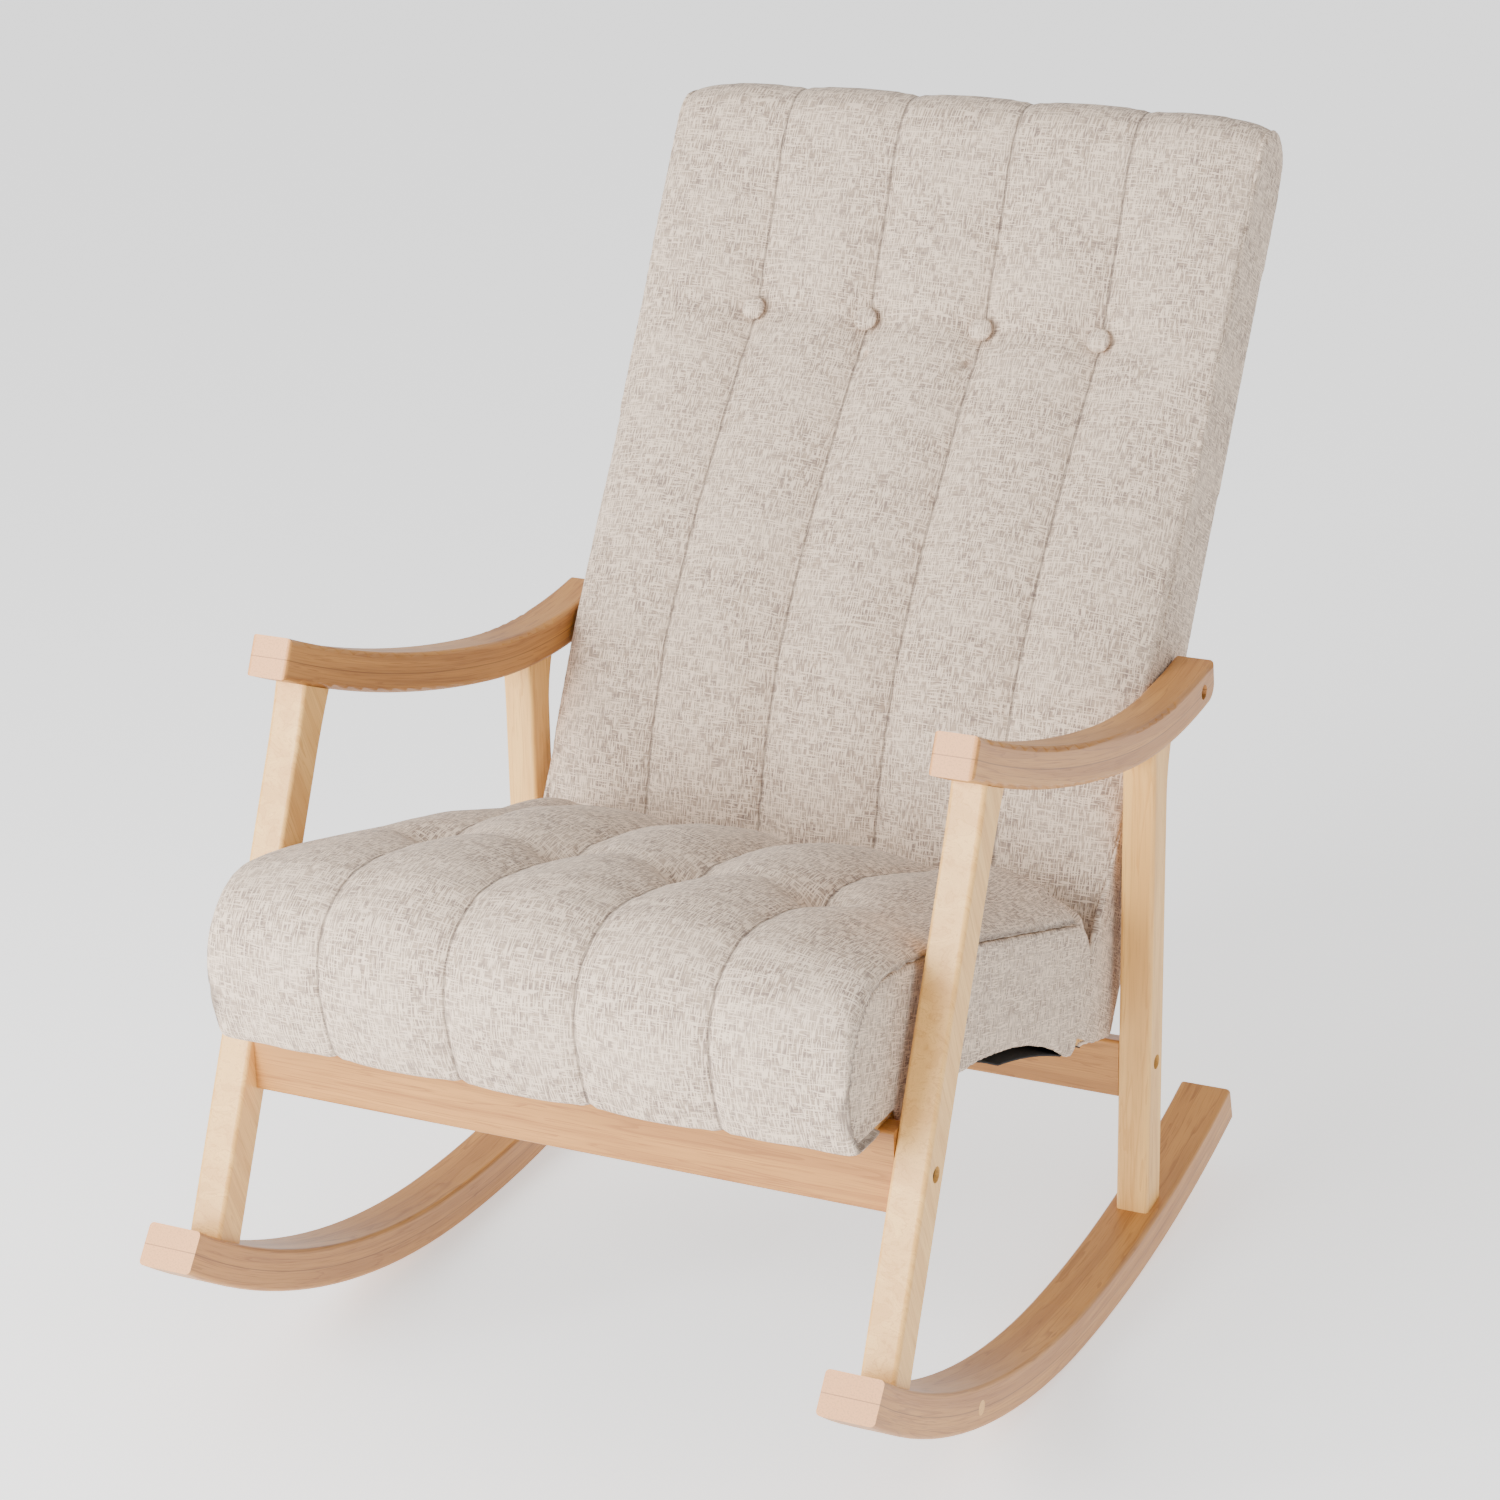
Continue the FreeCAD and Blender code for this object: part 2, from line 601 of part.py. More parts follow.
rail_length = "2 * leg_inner"
for word, front, back, bottom, tops, bolt_y, bolt_z in (
        ("front", "-front_rail_reach", "-front_rail_reach + front_rail_depth",
         "front_rail_bottom", ("front_rail_top", "front_rail_top"), "front_rail_centre_y",
         "front_bolt_height"),
        ("rear", "rear_rail_front", "rear_rail_back", "rear_rail_bottom",
         ("rear_rail_front_top", "rear_rail_back_top"), "rear_leg_middle",
         "rear_bolt_height")):
    rail = new_body(word + "_rail")
    profile = outline(rail, word + "RailOutline", "YZ_Plane", [
        (front, bottom), (back, bottom), (back, tops[1]), (front, tops[0])])
    pad(rail, profile, rail_length, centred=True)
    reach = value("leg_inner")
    round_edges(rail, "rail_rounding", lambda e: e.BoundBox.XLength > reach)
    for side in (-1, 1):
        bore = circles(rail, "%sRailBore%d" % (word, side + 1), "YZ_Plane",
                       [(bolt_y, bolt_z, "bolt_bore")],
                       ("0", "0", "%d * (leg_inner + cut_overrun)" % side))
        pocket(rail, bore, "bolt_length + cut_overrun", back=side < 0)
        seat = circles(rail, "%sRailSeat%d" % (word, side + 1), "XZ_Plane",
                       [("%d * (leg_inner - cross_dowel_inset)" % side, bolt_z,
                         "cross_dowel_diameter + 2 * dowel_clearance")],
                       ("0", "0", "-(%s) - cut_overrun" % back))
        depth = "((%s) - (%s) + cross_dowel_length) / 2 + fit_gap + cut_overrun" % (back, front)
        pocket(rail, seat, depth, back=True)
    hand_in(rail)


# Bolts: one socket head bolt, repeated in the legs, the armrests and the back's foot

bolt = new_body("SocketBolt")
shape = outline(bolt, "BoltOutline", "XY_Plane", [
    ("0", "0"), ("0", "bolt_head_diameter / 2"),
    ("-bolt_head_height", "bolt_head_diameter / 2"), ("-bolt_head_height", "bolt_diameter / 2"),
    ("-bolt_head_height - bolt_length", "bolt_diameter / 2"),
    ("-bolt_head_height - bolt_length", "0")])
turned = bolt.newObject("PartDesign::Revolution", "BoltTurned")
turned.Profile = shape
turned.ReferenceAxis = (shape, ["H_Axis"])
turned.Angle = 360
derive("socket_corner", "socket_width / 2 / cos(30)")
socket = outline(bolt, "BoltSocket", "YZ_Plane", [
    ("socket_corner * cos(%d)" % angle, "socket_corner * sin(%d)" % angle)
    for angle in range(0, 360, 60)], base=("0", "0", "cut_overrun"))
pocket(bolt, socket, "socket_depth + cut_overrun")


def copies(label, master, places):
    """Group of separate solids, each one the same master at its own place."""
    links = []
    for index, (x, y, z, axis, angle) in enumerate(places):
        link = doc.addObject("App::Link", "%sCopy%d" % (label, index))
        link.LinkedObject = master
        link.Placement = Placement(Vector(), Rotation(Vector(*axis), value(angle)))
        if angle != "0":
            link.setExpression("Placement.Rotation.Angle", full(angle))
        for name, text in zip("xyz", (x, y, z)):
            link.setExpression("Placement.Base." + name, full(text))
        links.append(link)
    group = doc.addObject("Part::Compound", label)
    group.Links = links
    group.Label = label
    return hand_in(group)


UP = (0, 0, 1)
bolt_places = []
for side, turn in ((1, "0"), (-1, "180")):
    for outer, y, z in (("leg_outer", "front_rail_centre_y", "front_bolt_height"),
                        ("leg_outer", "rear_leg_middle", "rear_bolt_height"),
                        ("arm_outer", "arm_bolt_reach", "arm_bolt_height")):
        bolt_places.append(("%d * (%s - bolt_recess)" % (side, outer), y, z, UP, turn))
copies("frame_bolts", bolt, bolt_places)

# Cross dowels in the two rails, each tapped across for its bolt

cross = new_body("CrossDowel")
pad(cross, circles(cross, "CrossDowelEnd", "XZ_Plane", [("0", "0", "cross_dowel_diameter")]),
    "cross_dowel_length", centred=True)
pocket(cross, circles(cross, "CrossDowelTap", "YZ_Plane", [("0", "0", "bolt_bore")]),
       "cross_dowel_diameter + 2 * cut_overrun", centred=True)
copies("cross_dowels", cross, [
    ("%d * (leg_inner - cross_dowel_inset)" % side, y, z, UP, "0")
    for side in (-1, 1)
    for y, z in (("front_rail_centre_y", "front_bolt_height"),
                 ("rear_leg_middle", "rear_bolt_height"))])

# Wooden dowels, two at each end of each leg

dowels = []
for side in (-1, 1):
    for number, (y, z, lean) in enumerate(JOINTS):
        for row in (-1, 1):
            peg = doc.addObject("Part::Cylinder", "LegPeg%d%d%d" % (side + 1, number, row + 1))
            peg.Placement = Placement(Vector(), Rotation(Vector(1, 0, 0), -value(lean)))
            peg.setExpression("Placement.Rotation.Angle", full("-(%s)" % lean))
            peg.setExpression("Radius", full("dowel_diameter / 2"))
            peg.setExpression("Height", full("dowel_length"))
            peg.setExpression("Placement.Base.x", full("%d * side_centre" % side))
            peg.setExpression("Placement.Base.y", full(
                "%s + %d * dowel_spacing / 2 * cos(%s) - dowel_length / 2 * sin(%s)"
                % (y, row, lean, lean)))
            peg.setExpression("Placement.Base.z", full(
                "%s - %d * dowel_spacing / 2 * sin(%s) - dowel_length / 2 * cos(%s)"
                % (z, row, lean, lean)))
            dowels.append(peg)
pegs = doc.addObject("Part::Compound", "leg_dowels")
pegs.Links = dowels
pegs.Label = "leg_dowels"
hand_in(pegs)

# Plugs that close the bores in the rockers' outer faces

plugs = []
for word, side in SIDES:
    plug = doc.addObject("Part::Cylinder", "Plug" + word)
    plug.Placement = Placement(Vector(), Rotation(Vector(0, 1, 0), 90 * side))
    plug.setExpression("Radius", full("plug_diameter / 2 - dowel_clearance"))
    plug.setExpression("Height", full("plug_depth"))
    plug.setExpression("Placement.Base.x", full("%d * (frame_width / 2 - plug_depth)" % side))
    plug.setExpression("Placement.Base.y", full("-plug_reach"))
    plug.setExpression("Placement.Base.z", full("plug_height"))
    plugs.append(plug)
plug_group = doc.addObject("Part::Compound", "rocker_plugs")
plug_group.Links = plugs
plug_group.Label = "rocker_plugs"
hand_in(plug_group)

# Seat. Its origin is the lower front corner of the side panels, just behind the front rail,
# and its own Y axis runs down to the rear along the slope of the cushion.


def seat_point(alias, y, z):
    """Carry a place of the whole chair into the seat's own frame."""
    derive(alias + "_y", "((%s) + seat_reach) * cos(seat_slope)"
           " - ((%s) - seat_corner_height) * sin(seat_slope)" % (y, z))
    derive(alias + "_z", "((%s) + seat_reach) * sin(seat_slope)"
           " + ((%s) - seat_corner_height) * cos(seat_slope)" % (y, z))


def seat_body(label):
    body = new_body(label)
    attitude(body, "-seat_slope", "-seat_reach", "seat_corner_height")
    return hand_in(body)


derive("seat_floor", "front_rail_top + fit_gap")
seat_point("seat_notch", "-seat_reach", "seat_floor")
seat_point("seat_rear", "back_reach + (back_foot_recess - fit_gap) * cos(back_recline)",
           "back_height - (back_foot_recess - fit_gap) * sin(back_recline)")
derive("seat_back_angle", "back_recline - seat_slope")
derive("seat_board_outer", "seat_half_width - seat_cover_thickness - fit_gap")
derive("seat_board_inner", "seat_board_outer - seat_board_thickness")
derive("seat_inner_half", "seat_board_inner - fit_gap")
derive("seat_frame_top", "seat_base_height - spring_wire - 2 * fit_gap")
derive("seat_rear_rail_top", "(seat_frame_top - seat_rear_z - seat_rear_rail_depth"
       " * sin(seat_back_angle)) / cos(seat_back_angle)")
derive("seat_bolt_height", "(seat_rear_rail_bottom + seat_rear_rail_top) / 2")


def seat_end(z):
    """Y of the plane where the seat meets the back, at a height in the seat's frame."""
    return "(seat_rear_y + ((%s) - seat_rear_z) * tan(seat_back_angle))" % z


def over_rail(y):
    """Height of the level underside that rests on the front rail."""
    return "(seat_notch_z + ((%s) - seat_notch_y) * tan(seat_slope))" % y


arch = [("0", "0"), ("seat_arch_front_length", "seat_arch_front_rise"),
        (seat_end("seat_arch_rear_rise"), "seat_arch_rear_rise")]
arch_arcs = {0: ("seat_front_arch_radius", "right"), 1: ("seat_rear_arch_radius", "right")}

for word, side in SIDES:
    board = seat_body("seat_side_board_" + word)
    shape = outline(board, "SeatBoardOutline" + word, "YZ_Plane", arch + [
        (seat_end("seat_base_height"), "seat_base_height"),
        ("-seat_nose_core + fit_gap", "seat_base_height"),
        ("-seat_nose_core + fit_gap", over_rail("-seat_nose_core + fit_gap")),
        ("seat_notch_y", "seat_notch_z"),
    ], arch_arcs, ("0", "0", "%d * (seat_board_inner + seat_board_thickness / 2)"
                   " - seat_board_thickness / 2" % side))
    pad(board, shape, "seat_board_thickness")

front_rail = seat_body("seat_front_rail")
derive("seat_front_rail_back", "seat_front_rail_depth - seat_nose_core")
pad(front_rail, outline(front_rail, "SeatFrontRailOutline", "YZ_Plane", [
    ("-seat_nose_core + fit_gap", over_rail("-seat_nose_core + fit_gap")),
    ("seat_front_rail_back", over_rail("seat_front_rail_back")),
    ("seat_front_rail_back", "seat_frame_top"),
    ("-seat_nose_core + fit_gap", "seat_frame_top")]), "2 * seat_inner_half", centred=True)

dust_cover = seat_body("seat_dust_cover")
pad(dust_cover, outline(dust_cover, "DustCoverOutline", "YZ_Plane", arch + [
    (seat_end("seat_arch_rear_rise"), "seat_arch_rear_rise + dust_cover_thickness"),
    ("seat_arch_front_length", "seat_arch_front_rise + dust_cover_thickness"),
    ("0", "dust_cover_thickness"),
], {0: ("seat_front_arch_radius", "right"), 1: ("seat_rear_arch_radius", "right"),
    3: ("seat_rear_arch_radius", "left"), 4: ("seat_front_arch_radius", "left")}),
    "2 * seat_inner_half", centred=True)

# Outline of the seat's sides in shares of the nose's overhang and of the side's height
SIDE_NOSE_SHARES = ((-0.66, 0.94), (-1, 0.52), (-0.8, 0.065))
for word, side in SIDES:
    cover = seat_body("seat_side_cover_" + word)
    nose = [("seat_nose_overhang * %s" % u, "seat_side_height * %s" % v)
            for u, v in SIDE_NOSE_SHARES]
    shape = outline(cover, "SeatCoverOutline" + word, "YZ_Plane", arch + [
        (seat_end("seat_side_height - 1.5 * seat_edge_drop"),
         "seat_side_height - 1.5 * seat_edge_drop"),
        (seat_end("seat_side_height") + " - seat_edge_drop", "seat_side_height"),
        ("0", "seat_side_height"),
    ] + nose + [
        ("-2 * seat_nose_core + fit_gap", over_rail("-2 * seat_nose_core + fit_gap")),
        ("seat_notch_y", "seat_notch_z"),
    ], {**arch_arcs, 3: ("2 * seat_edge_drop", "left"), 5: ("seat_brow_radius", "left"),
        6: ("seat_nose_radius", "left"), 7: ("seat_chin_radius", "left")},
        ("0", "0", "%d * (seat_half_width - seat_cover_thickness / 2)"
                         " - seat_cover_thickness / 2" % side))
    pad(cover, shape, "seat_cover_thickness")


def between(before, first, second, after):
    """Values midway between two stations, on a smooth curve through all four."""
    return tuple("((%s + %s) * 9 - %s - %s) / 16" % tuple("(%s)" % part for part in parts)
                 for parts in zip(first, second, before, after))


def denser(stations):
    """The same stations with one more between each two."""
    rows = []
    for index, station in enumerate(stations[:-1]):
        before = stations[max(index - 1, 0)]
        after = stations[min(index + 2, len(stations) - 1)]
        rows += [station, between(before, station, stations[index + 1], after)]
    return rows + [stations[-1]]


def channel_pad(body, name, half, thickness, crown, drop, stations):
    """Loft of a cushion with five channels: at each station a section that holds four sewn
    seams between five crowns. A station is the place of the section's foot, the angle of its
    outward direction, and its shares of thickness, crown, edge drop and half width."""
    sections = []
    for index, (y, z, angle, tall, bulge, fall, wide) in enumerate(stations):
        top = "(%s * %s)" % (thickness, tall)
        rise = "(%s * %s)" % (crown, bulge)
        edge = "(%s - %s * %s)" % (top, drop, fall)
        span = "(%s * %s)" % (half, wide)
        inner = "(channel_width / 2)"
        outer_seam = "(3 * channel_width / 2)"
        long_chord = "((%s - %s)^2 + (%s * %s)^2)" % (span, outer_seam, drop, fall)
        channel = "((%s^2 + %s^2) / (2 * %s))" % (inner, rise, rise)
        border = "((%s / 4 + %s^2) / (2 * %s))" % (long_chord, rise, rise)
        tall, bulge, fall, wide = ("(%s)" % share for share in (tall, bulge, fall, wide))
        sections.append(outline(body, "%s%d" % (name, index), "XY_Plane", [
            ("-%s" % span, "0"), (span, "0"), (span, edge), (outer_seam, top), (inner, top),
            ("-%s" % inner, top), ("-%s" % outer_seam, top), ("-%s" % span, edge),
        ], {2: (border, "left"), 3: (channel, "left"), 4: (channel, "left"),
            5: (channel, "left"), 6: (border, "left")}, ("0", y, z), angle))
    loft = body.newObject("PartDesign::AdditiveLoft", name + "Loft")
    loft.Profile = sections[0]
    loft.Sections = sections[1:]
    loft.Ruled = True
    doc.recompute()
    return loft


# Seat cushion: stations from under the nose, round it and back along the top. Places are in
# shares of the nose's overhang, the base's height and the cushion's run to the rear.
run = "seat_pad_run * %s"
core = "-seat_nose_core + cut_overrun / 2"
base = "seat_base_height - cut_overrun / 2"
NOSE_RISE_SHARES = (0.62, 0.85)
SEAT_RUN_SHARES = (-0.11, 0.143, 0.49, 1)
SEAT_ANGLES = ("180 + seat_slope", "180", "165", "147", "112", "90", "90", "90", "104")
# Shares of thickness, crown, edge drop and half width, station by station
SEAT_SECTION_SHARES = (
    (0.53, 0.3, 0.2, 1),
    (0.94, 0.4, 0.5, 1),
    (1.07, 0.4, 0.5, 1),
    (1.01, 0.5, 0.5, 1),
    (0.94, 0.7, 0.8, 1),
    (1.0, 0.9, 1.0, 1),
    (1.15, 1.0, 1.5, 1),
    (1.09, 0.9, 1.3, 1),
    (0.85, 0.5, 0.7, 1),
)
seat_places = [(core, over_rail(core))]
seat_places += [(core, "seat_base_height * %s" % share) for share in NOSE_RISE_SHARES]
seat_places += [(core, base)]
seat_places += [(run % share, base) for share in SEAT_RUN_SHARES]
seat_places += [(seat_end(base), base)]
seat_stations = [(y, z, angle) + shares for (y, z), angle, shares
                 in zip(seat_places, SEAT_ANGLES, SEAT_SECTION_SHARES)]
cushion = seat_body("seat_cushion")
channel_pad(cushion, "SeatStation", "seat_board_outer", "seat_pad_thickness", "seat_pad_crown",
            "seat_edge_drop", denser(seat_stations))
# Flat underside where the cushion lies on the seat's frame
bed = outline(cushion, "SeatCushionBed", "YZ_Plane", [
    ("-seat_nose_core", over_rail("-seat_nose_core") + " - cut_overrun"),
    ("2 * seat_pad_run", over_rail("-seat_nose_core") + " - cut_overrun"),
    ("2 * seat_pad_run", "seat_base_height + fit_gap"),
    ("-seat_nose_core", "seat_base_height + fit_gap")])
pocket(cushion, bed, "2 * seat_half_width", centred=True)

# Zigzag springs from rail to rail under the cushion. Their corners take a share of the pitch.
SPRING_CORNER_SHARE = 0.3
SPRING_COUNT = 4
wire = value("spring_wire")
loop_edge = value("spring_loop_width / 2")
start = value("seat_front_rail_back - spring_rest")
finish = value(seat_end("seat_frame_top") + " - seat_rear_rail_depth + spring_rest")
rows = round((finish - start) / value("spring_pitch"))
step = (finish - start) / rows
corner = step * SPRING_CORNER_SHARE
places = [Vector(-loop_edge, start, 0)]
side = 1
for row in range(rows):
    across = start + step * row
    places += [Vector(side * (loop_edge - corner), across, 0),
               Vector(side * loop_edge, across + corner, 0),
               Vector(side * loop_edge, across + step - corner, 0),
               Vector(side * (loop_edge - corner), across + step, 0)]
    side = -side
places.append(Vector(side * loop_edge, finish, 0))
path = Part.makePolygon(places)
ring = Part.makePolygon([
    places[0] + Vector(0, math.cos(math.radians(angle)), math.sin(math.radians(angle)))
    * (wire / 2) for angle in range(0, 361, 60)])
coil = path.makePipeShell([ring], True, False, 1)
springs = []
for index in range(SPRING_COUNT):
    copy = coil.copy()
    copy.translate(Vector((index - (SPRING_COUNT - 1) / 2) * value("spring_spacing"), 0,
                          value("seat_frame_top + fit_gap + spring_wire / 2")))
    springs.append(copy)
spring_group = doc.addObject("Part::Feature", "seat_springs")
spring_group.Shape = Part.makeCompound(springs)
attitude(spring_group, "-seat_slope", "-seat_reach", "seat_corner_height")
spring_group.Label = "seat_springs"
hand_in(spring_group)

# Angle brackets that hold the seat to the rear face of the front rail

angle_bracket = new_body("AngleBracket")
pad(angle_bracket, outline(angle_bracket, "BracketOutline", "YZ_Plane", [
    ("0", "0"), ("0", "-bracket_leg"), ("bracket_thickness", "-bracket_leg"),
    ("bracket_thickness", "-bracket_thickness"), ("bracket_leg / 2", "-bracket_thickness"),
    ("bracket_leg / 2", "0")]), "bracket_width", centred=True)
copies("seat_brackets", angle_bracket, [
    ("%d * bracket_place" % side, "-front_rail_reach + front_rail_depth", "front_rail_top",
     UP, "0") for side in (-1, 1)])

# Back. Its origin is the lower front edge of its cushion, and its own Z axis runs up along
# the cushion's face.


def back_body(label):
    body = new_body(label)
    attitude(body, "-back_recline", "back_reach", "back_height")
    return hand_in(body)


derive("back_foot_tilt", "back_recline - back_underside_slope")
derive("back_depth", "2 * back_top_radius")
derive("back_lining", "back_cover_thickness + fit_gap")


def back_floor(y):
    return "((%s) * tan(back_foot_tilt))" % y


derive("back_lumbar_radius", "((back_lumbar_high - back_lumbar_low)^2 / 4 + back_lumbar_rise^2)"
       " / (2 * back_lumbar_rise)")
cover = back_body("back_outer_cover")
derive("back_pad_back", "back_frame_front - fit_gap")
shape = outline(cover, "BackCoverOutline", "YZ_Plane", [
    ("back_foot_recess", back_floor("back_foot_recess")),
    ("back_foot_depth", back_floor("back_foot_depth")),
    ("back_depth", "back_length - fit_gap"),
    ("back_pad_back", "back_length - fit_gap"),
    ("back_pad_back", "back_lumbar_high"),
    ("back_pad_back", "back_lumbar_low"),
    ("back_pad_back", "back_pad_start - fit_gap"),
    ("back_foot_recess", "back_pad_start - fit_gap")], {4: ("back_lumbar_radius", "left")})
pad(cover, shape, "2 * back_top_half_width", centred=True)
for side in (-1, 1):
    wedge = outline(cover, "BackCoverTaper%d" % (side + 1), "XZ_Plane", [
        ("%d * back_half_width" % side, "0"),
        ("%d * (back_top_half_width + cut_overrun)" % side, "0"),
        ("%d * (back_top_half_width + cut_overrun)" % side, "back_length"),
        ("%d * back_top_half_width" % side, "back_length")])
    pocket(cover, wedge, "2 * (back_foot_depth + cut_overrun)", centred=True)
inside = "%s + back_cover_thickness / cos(back_foot_tilt)"
hollow = outline(cover, "BackCoverHollow", "YZ_Plane", [
    ("0", inside % back_floor("0")),
    ("back_foot_depth - back_cover_thickness",
     inside % back_floor("back_foot_depth - back_cover_thickness")),
    ("back_depth - back_cover_thickness", "back_length - fit_gap - back_cover_thickness"),
    ("0", "back_length - fit_gap - back_cover_thickness")])
pocket(cover, hollow, "2 * (back_half_width - back_cover_thickness)", centred=True)

# The arm bolts' place in the back's own frame
derive("arm_bolt_back_y", "(arm_bolt_reach - back_reach) * cos(back_recline)"
       " - (arm_bolt_height - back_height) * sin(back_recline)")
derive("arm_bolt_back_z", "(arm_bolt_reach - back_reach) * sin(back_recline)"
       " + (arm_bolt_height - back_height) * cos(back_recline)")
pocket(cover, circles(cover, "BackCoverBoltHoles", "YZ_Plane",
                      [("arm_bolt_back_y", "arm_bolt_back_z", "bolt_bore")]),
       "2 * (back_top_half_width + cut_overrun)", centred=True)

derive("back_stile_outer", "back_half_width - back_lining")
derive("back_stile_inner", "back_stile_outer - back_stile_width")
derive("back_frame_back", "back_frame_front + back_frame_depth")
derive("back_inner_half", "back_stile_inner - fit_gap")

for word, side in SIDES:
    stile = back_body("back_stile_" + word)
    shape = outline(stile, "StileOutline" + word, "YZ_Plane", [
        ("back_frame_front", "back_frame_foot"), ("back_frame_back", "back_frame_foot"),
        ("back_frame_back", "back_frame_top"), ("back_frame_front", "back_frame_top"),
        ("back_frame_front", "back_lumbar_high"), ("back_frame_front", "back_lumbar_low"),
    ], {4: ("back_lumbar_radius", "left")},
        ("0", "0", "%d * (back_stile_inner + back_stile_width / 2) - back_stile_width / 2"
         % side))
    pad(stile, shape, "back_stile_width")
    nut_seat = circles(stile, "TeeNutSeat" + word, "YZ_Plane",
                       [("arm_bolt_back_y", "arm_bolt_back_z",
                         "tee_barrel_diameter + 2 * dowel_clearance")],
                       ("0", "0", "%d * (back_stile_outer + cut_overrun)" % side))
    pocket(stile, nut_seat, "back_stile_width + 2 * cut_overrun", back=side < 0)

foot_rail = back_body("back_foot_rail")
pad(foot_rail, outline(foot_rail, "FootRailOutline", "YZ_Plane", [
    ("back_foot_recess + fit_gap", back_floor("back_foot_recess") + " + 2 * back_lining"),
    ("back_pad_back", back_floor("back_pad_back") + " + 2 * back_lining"),
    ("back_pad_back", "back_pad_start - 2 * fit_gap"),
    ("back_foot_recess + fit_gap", "back_pad_start - 2 * fit_gap")]),
    "2 * back_stile_outer", centred=True)
bolt_row = ("-seat_bolt_spacing", "0", "seat_bolt_spacing")
pocket(foot_rail, circles(foot_rail, "FootRailBores", "XZ_Plane", [
    (x, "seat_bolt_height", "tee_barrel_diameter + 2 * dowel_clearance") for x in bolt_row],
    base=("0", "0", "-back_pad_back - cut_overrun")), "back_frame_front + 2 * cut_overrun",
    back=True)

# Rear rail of the seat, bolted flat against the back's foot rail
seat_rear = back_body("seat_rear_rail")
derive("seat_rear_rail_back", "back_foot_recess - fit_gap")
derive("seat_rear_rail_front", "seat_rear_rail_back - seat_rear_rail_depth")
pad(seat_rear, outline(seat_rear, "SeatRearRailOutline", "YZ_Plane", [
    ("seat_rear_rail_front", "seat_rear_rail_bottom"),
    ("seat_rear_rail_back", "seat_rear_rail_bottom"),
    ("seat_rear_rail_back", "seat_rear_rail_top"),
    ("seat_rear_rail_front", "seat_rear_rail_top")]), "2 * seat_inner_half", centred=True)
pocket(seat_rear, circles(seat_rear, "SeatRearRailBores", "XZ_Plane", [
    (x, "seat_bolt_height", "bolt_bore") for x in bolt_row],
    base=("0", "0", "-seat_rear_rail_back - cut_overrun")),
    "seat_rear_rail_depth + 2 * cut_overrun", back=True)

for word, top in (("top", "back_frame_top"), ("middle", "arm_bolt_back_z + back_rail_height / 2"),
                  ("lower", "back_lumbar_low + back_rail_height")):
    rail = back_body("back_%s_rail" % word)
    pad(rail, outline(rail, "Back%sRail" % word, "XZ_Plane", [
        ("-back_inner_half", "(%s) - back_rail_height" % top),
        ("back_inner_half", "(%s) - back_rail_height" % top),
        ("back_inner_half", top), ("-back_inner_half", top),
    ], base=("0", "0", "-back_frame_front")), "back_frame_depth", back=True)

# Back cushion: stations up the face, over the top in a fan about one centre, and down behind

def lumbar(z):
    return ("(back_frame_front + strap_thickness - (sqrt(back_lumbar_radius^2"
            " - ((%s) - (back_lumbar_low + back_lumbar_high) / 2)^2)"
            " - back_lumbar_radius + back_lumbar_rise))" % z)


core = "(back_top_radius / 8)"
flat = "back_frame_front + strap_thickness"
LUMBAR_SHARES = (0.167, 0.268, 0.379, 0.518, 0.659)
HEAD_SHARES = (0.877, 0.944)
FAN_ANGLES = (180, 156, 132, 108, 84, 60, 36, 12, 0)
# Shares of thickness, crown, edge drop and half width, up the face and then round the top
BACK_SECTION_SHARES = (
    (0.77, 0.1, 0.1, 0.96),
    (0.9, 0.6, 0.3, 0.965),
    (1.2, 1, 0.9, 0.97),
    (1.36, 1, 1.25, 0.974),
    (1.24, 1, 1.05, 0.978),
    (1.14, 1, 0.55, 0.985),
    (0.86, 1.1, -0.4, 0.99),
    (1.11, 0.9, -0.1, 0.995),
    (1.18, 0.8, 0.05, 0.995),
)
FAN_SECTION_SHARES = (0.86, 0.7, 0.2, 0.995)
back_places = [(flat, "back_pad_start")]
for share in LUMBAR_SHARES:
    height = "back_length * %s" % share
    back_places.append((lumbar(height), height))
back_places.append((flat, "button_height"))
back_places += [(flat, "back_length * %s" % share) for share in HEAD_SHARES]
back_stations = [(y, z, "180") + shares
                 for (y, z), shares in zip(back_places, BACK_SECTION_SHARES)]
for turn in FAN_ANGLES:
    back_stations.append((
        "back_top_radius + %s * cos(%d)" % (core, turn),
        "back_length + %s * sin(%d)" % (core, turn), str(turn)) + FAN_SECTION_SHARES)
cushion = back_body("back_cushion")
channel_pad(cushion, "BackStation", "back_top_half_width", "back_pad_thickness",
            "back_pad_crown", "back_edge_drop", back_stations)
# Rear face that follows the stiles and their straps
derive("back_pad_rear", "back_frame_front - strap_thickness - 4 * fit_gap")
bed = outline(cushion, "BackCushionBed", "YZ_Plane", [
    ("back_pad_rear", "back_pad_start - cut_overrun"),
    ("2 * back_foot_depth", "back_pad_start - cut_overrun"),
    ("2 * back_foot_depth", "back_frame_top + fit_gap"),
    ("back_pad_rear", "back_frame_top + fit_gap"),
    ("back_pad_rear", "back_lumbar_high"), ("back_pad_rear", "back_lumbar_low"),
], {4: ("back_lumbar_radius", "left")})
pocket(cushion, bed, "2 * (back_top_half_width + cut_overrun)", centred=True)

# Seats for the four buttons, sunk where the seams cross the tufting row
BUTTON_PLACES = ("-3", "-1", "1", "3")
for number, place in enumerate(BUTTON_PLACES):
    dimple = circles(cushion, "ButtonSeat%d" % number, "XZ_Plane", [
        ("%s * channel_width / 2" % place, "button_height",
         "button_diameter + 2 * fit_gap")], base=("0", "0", "-button_sink"))
    pocket(cushion, dimple, "back_pad_thickness", back=True)

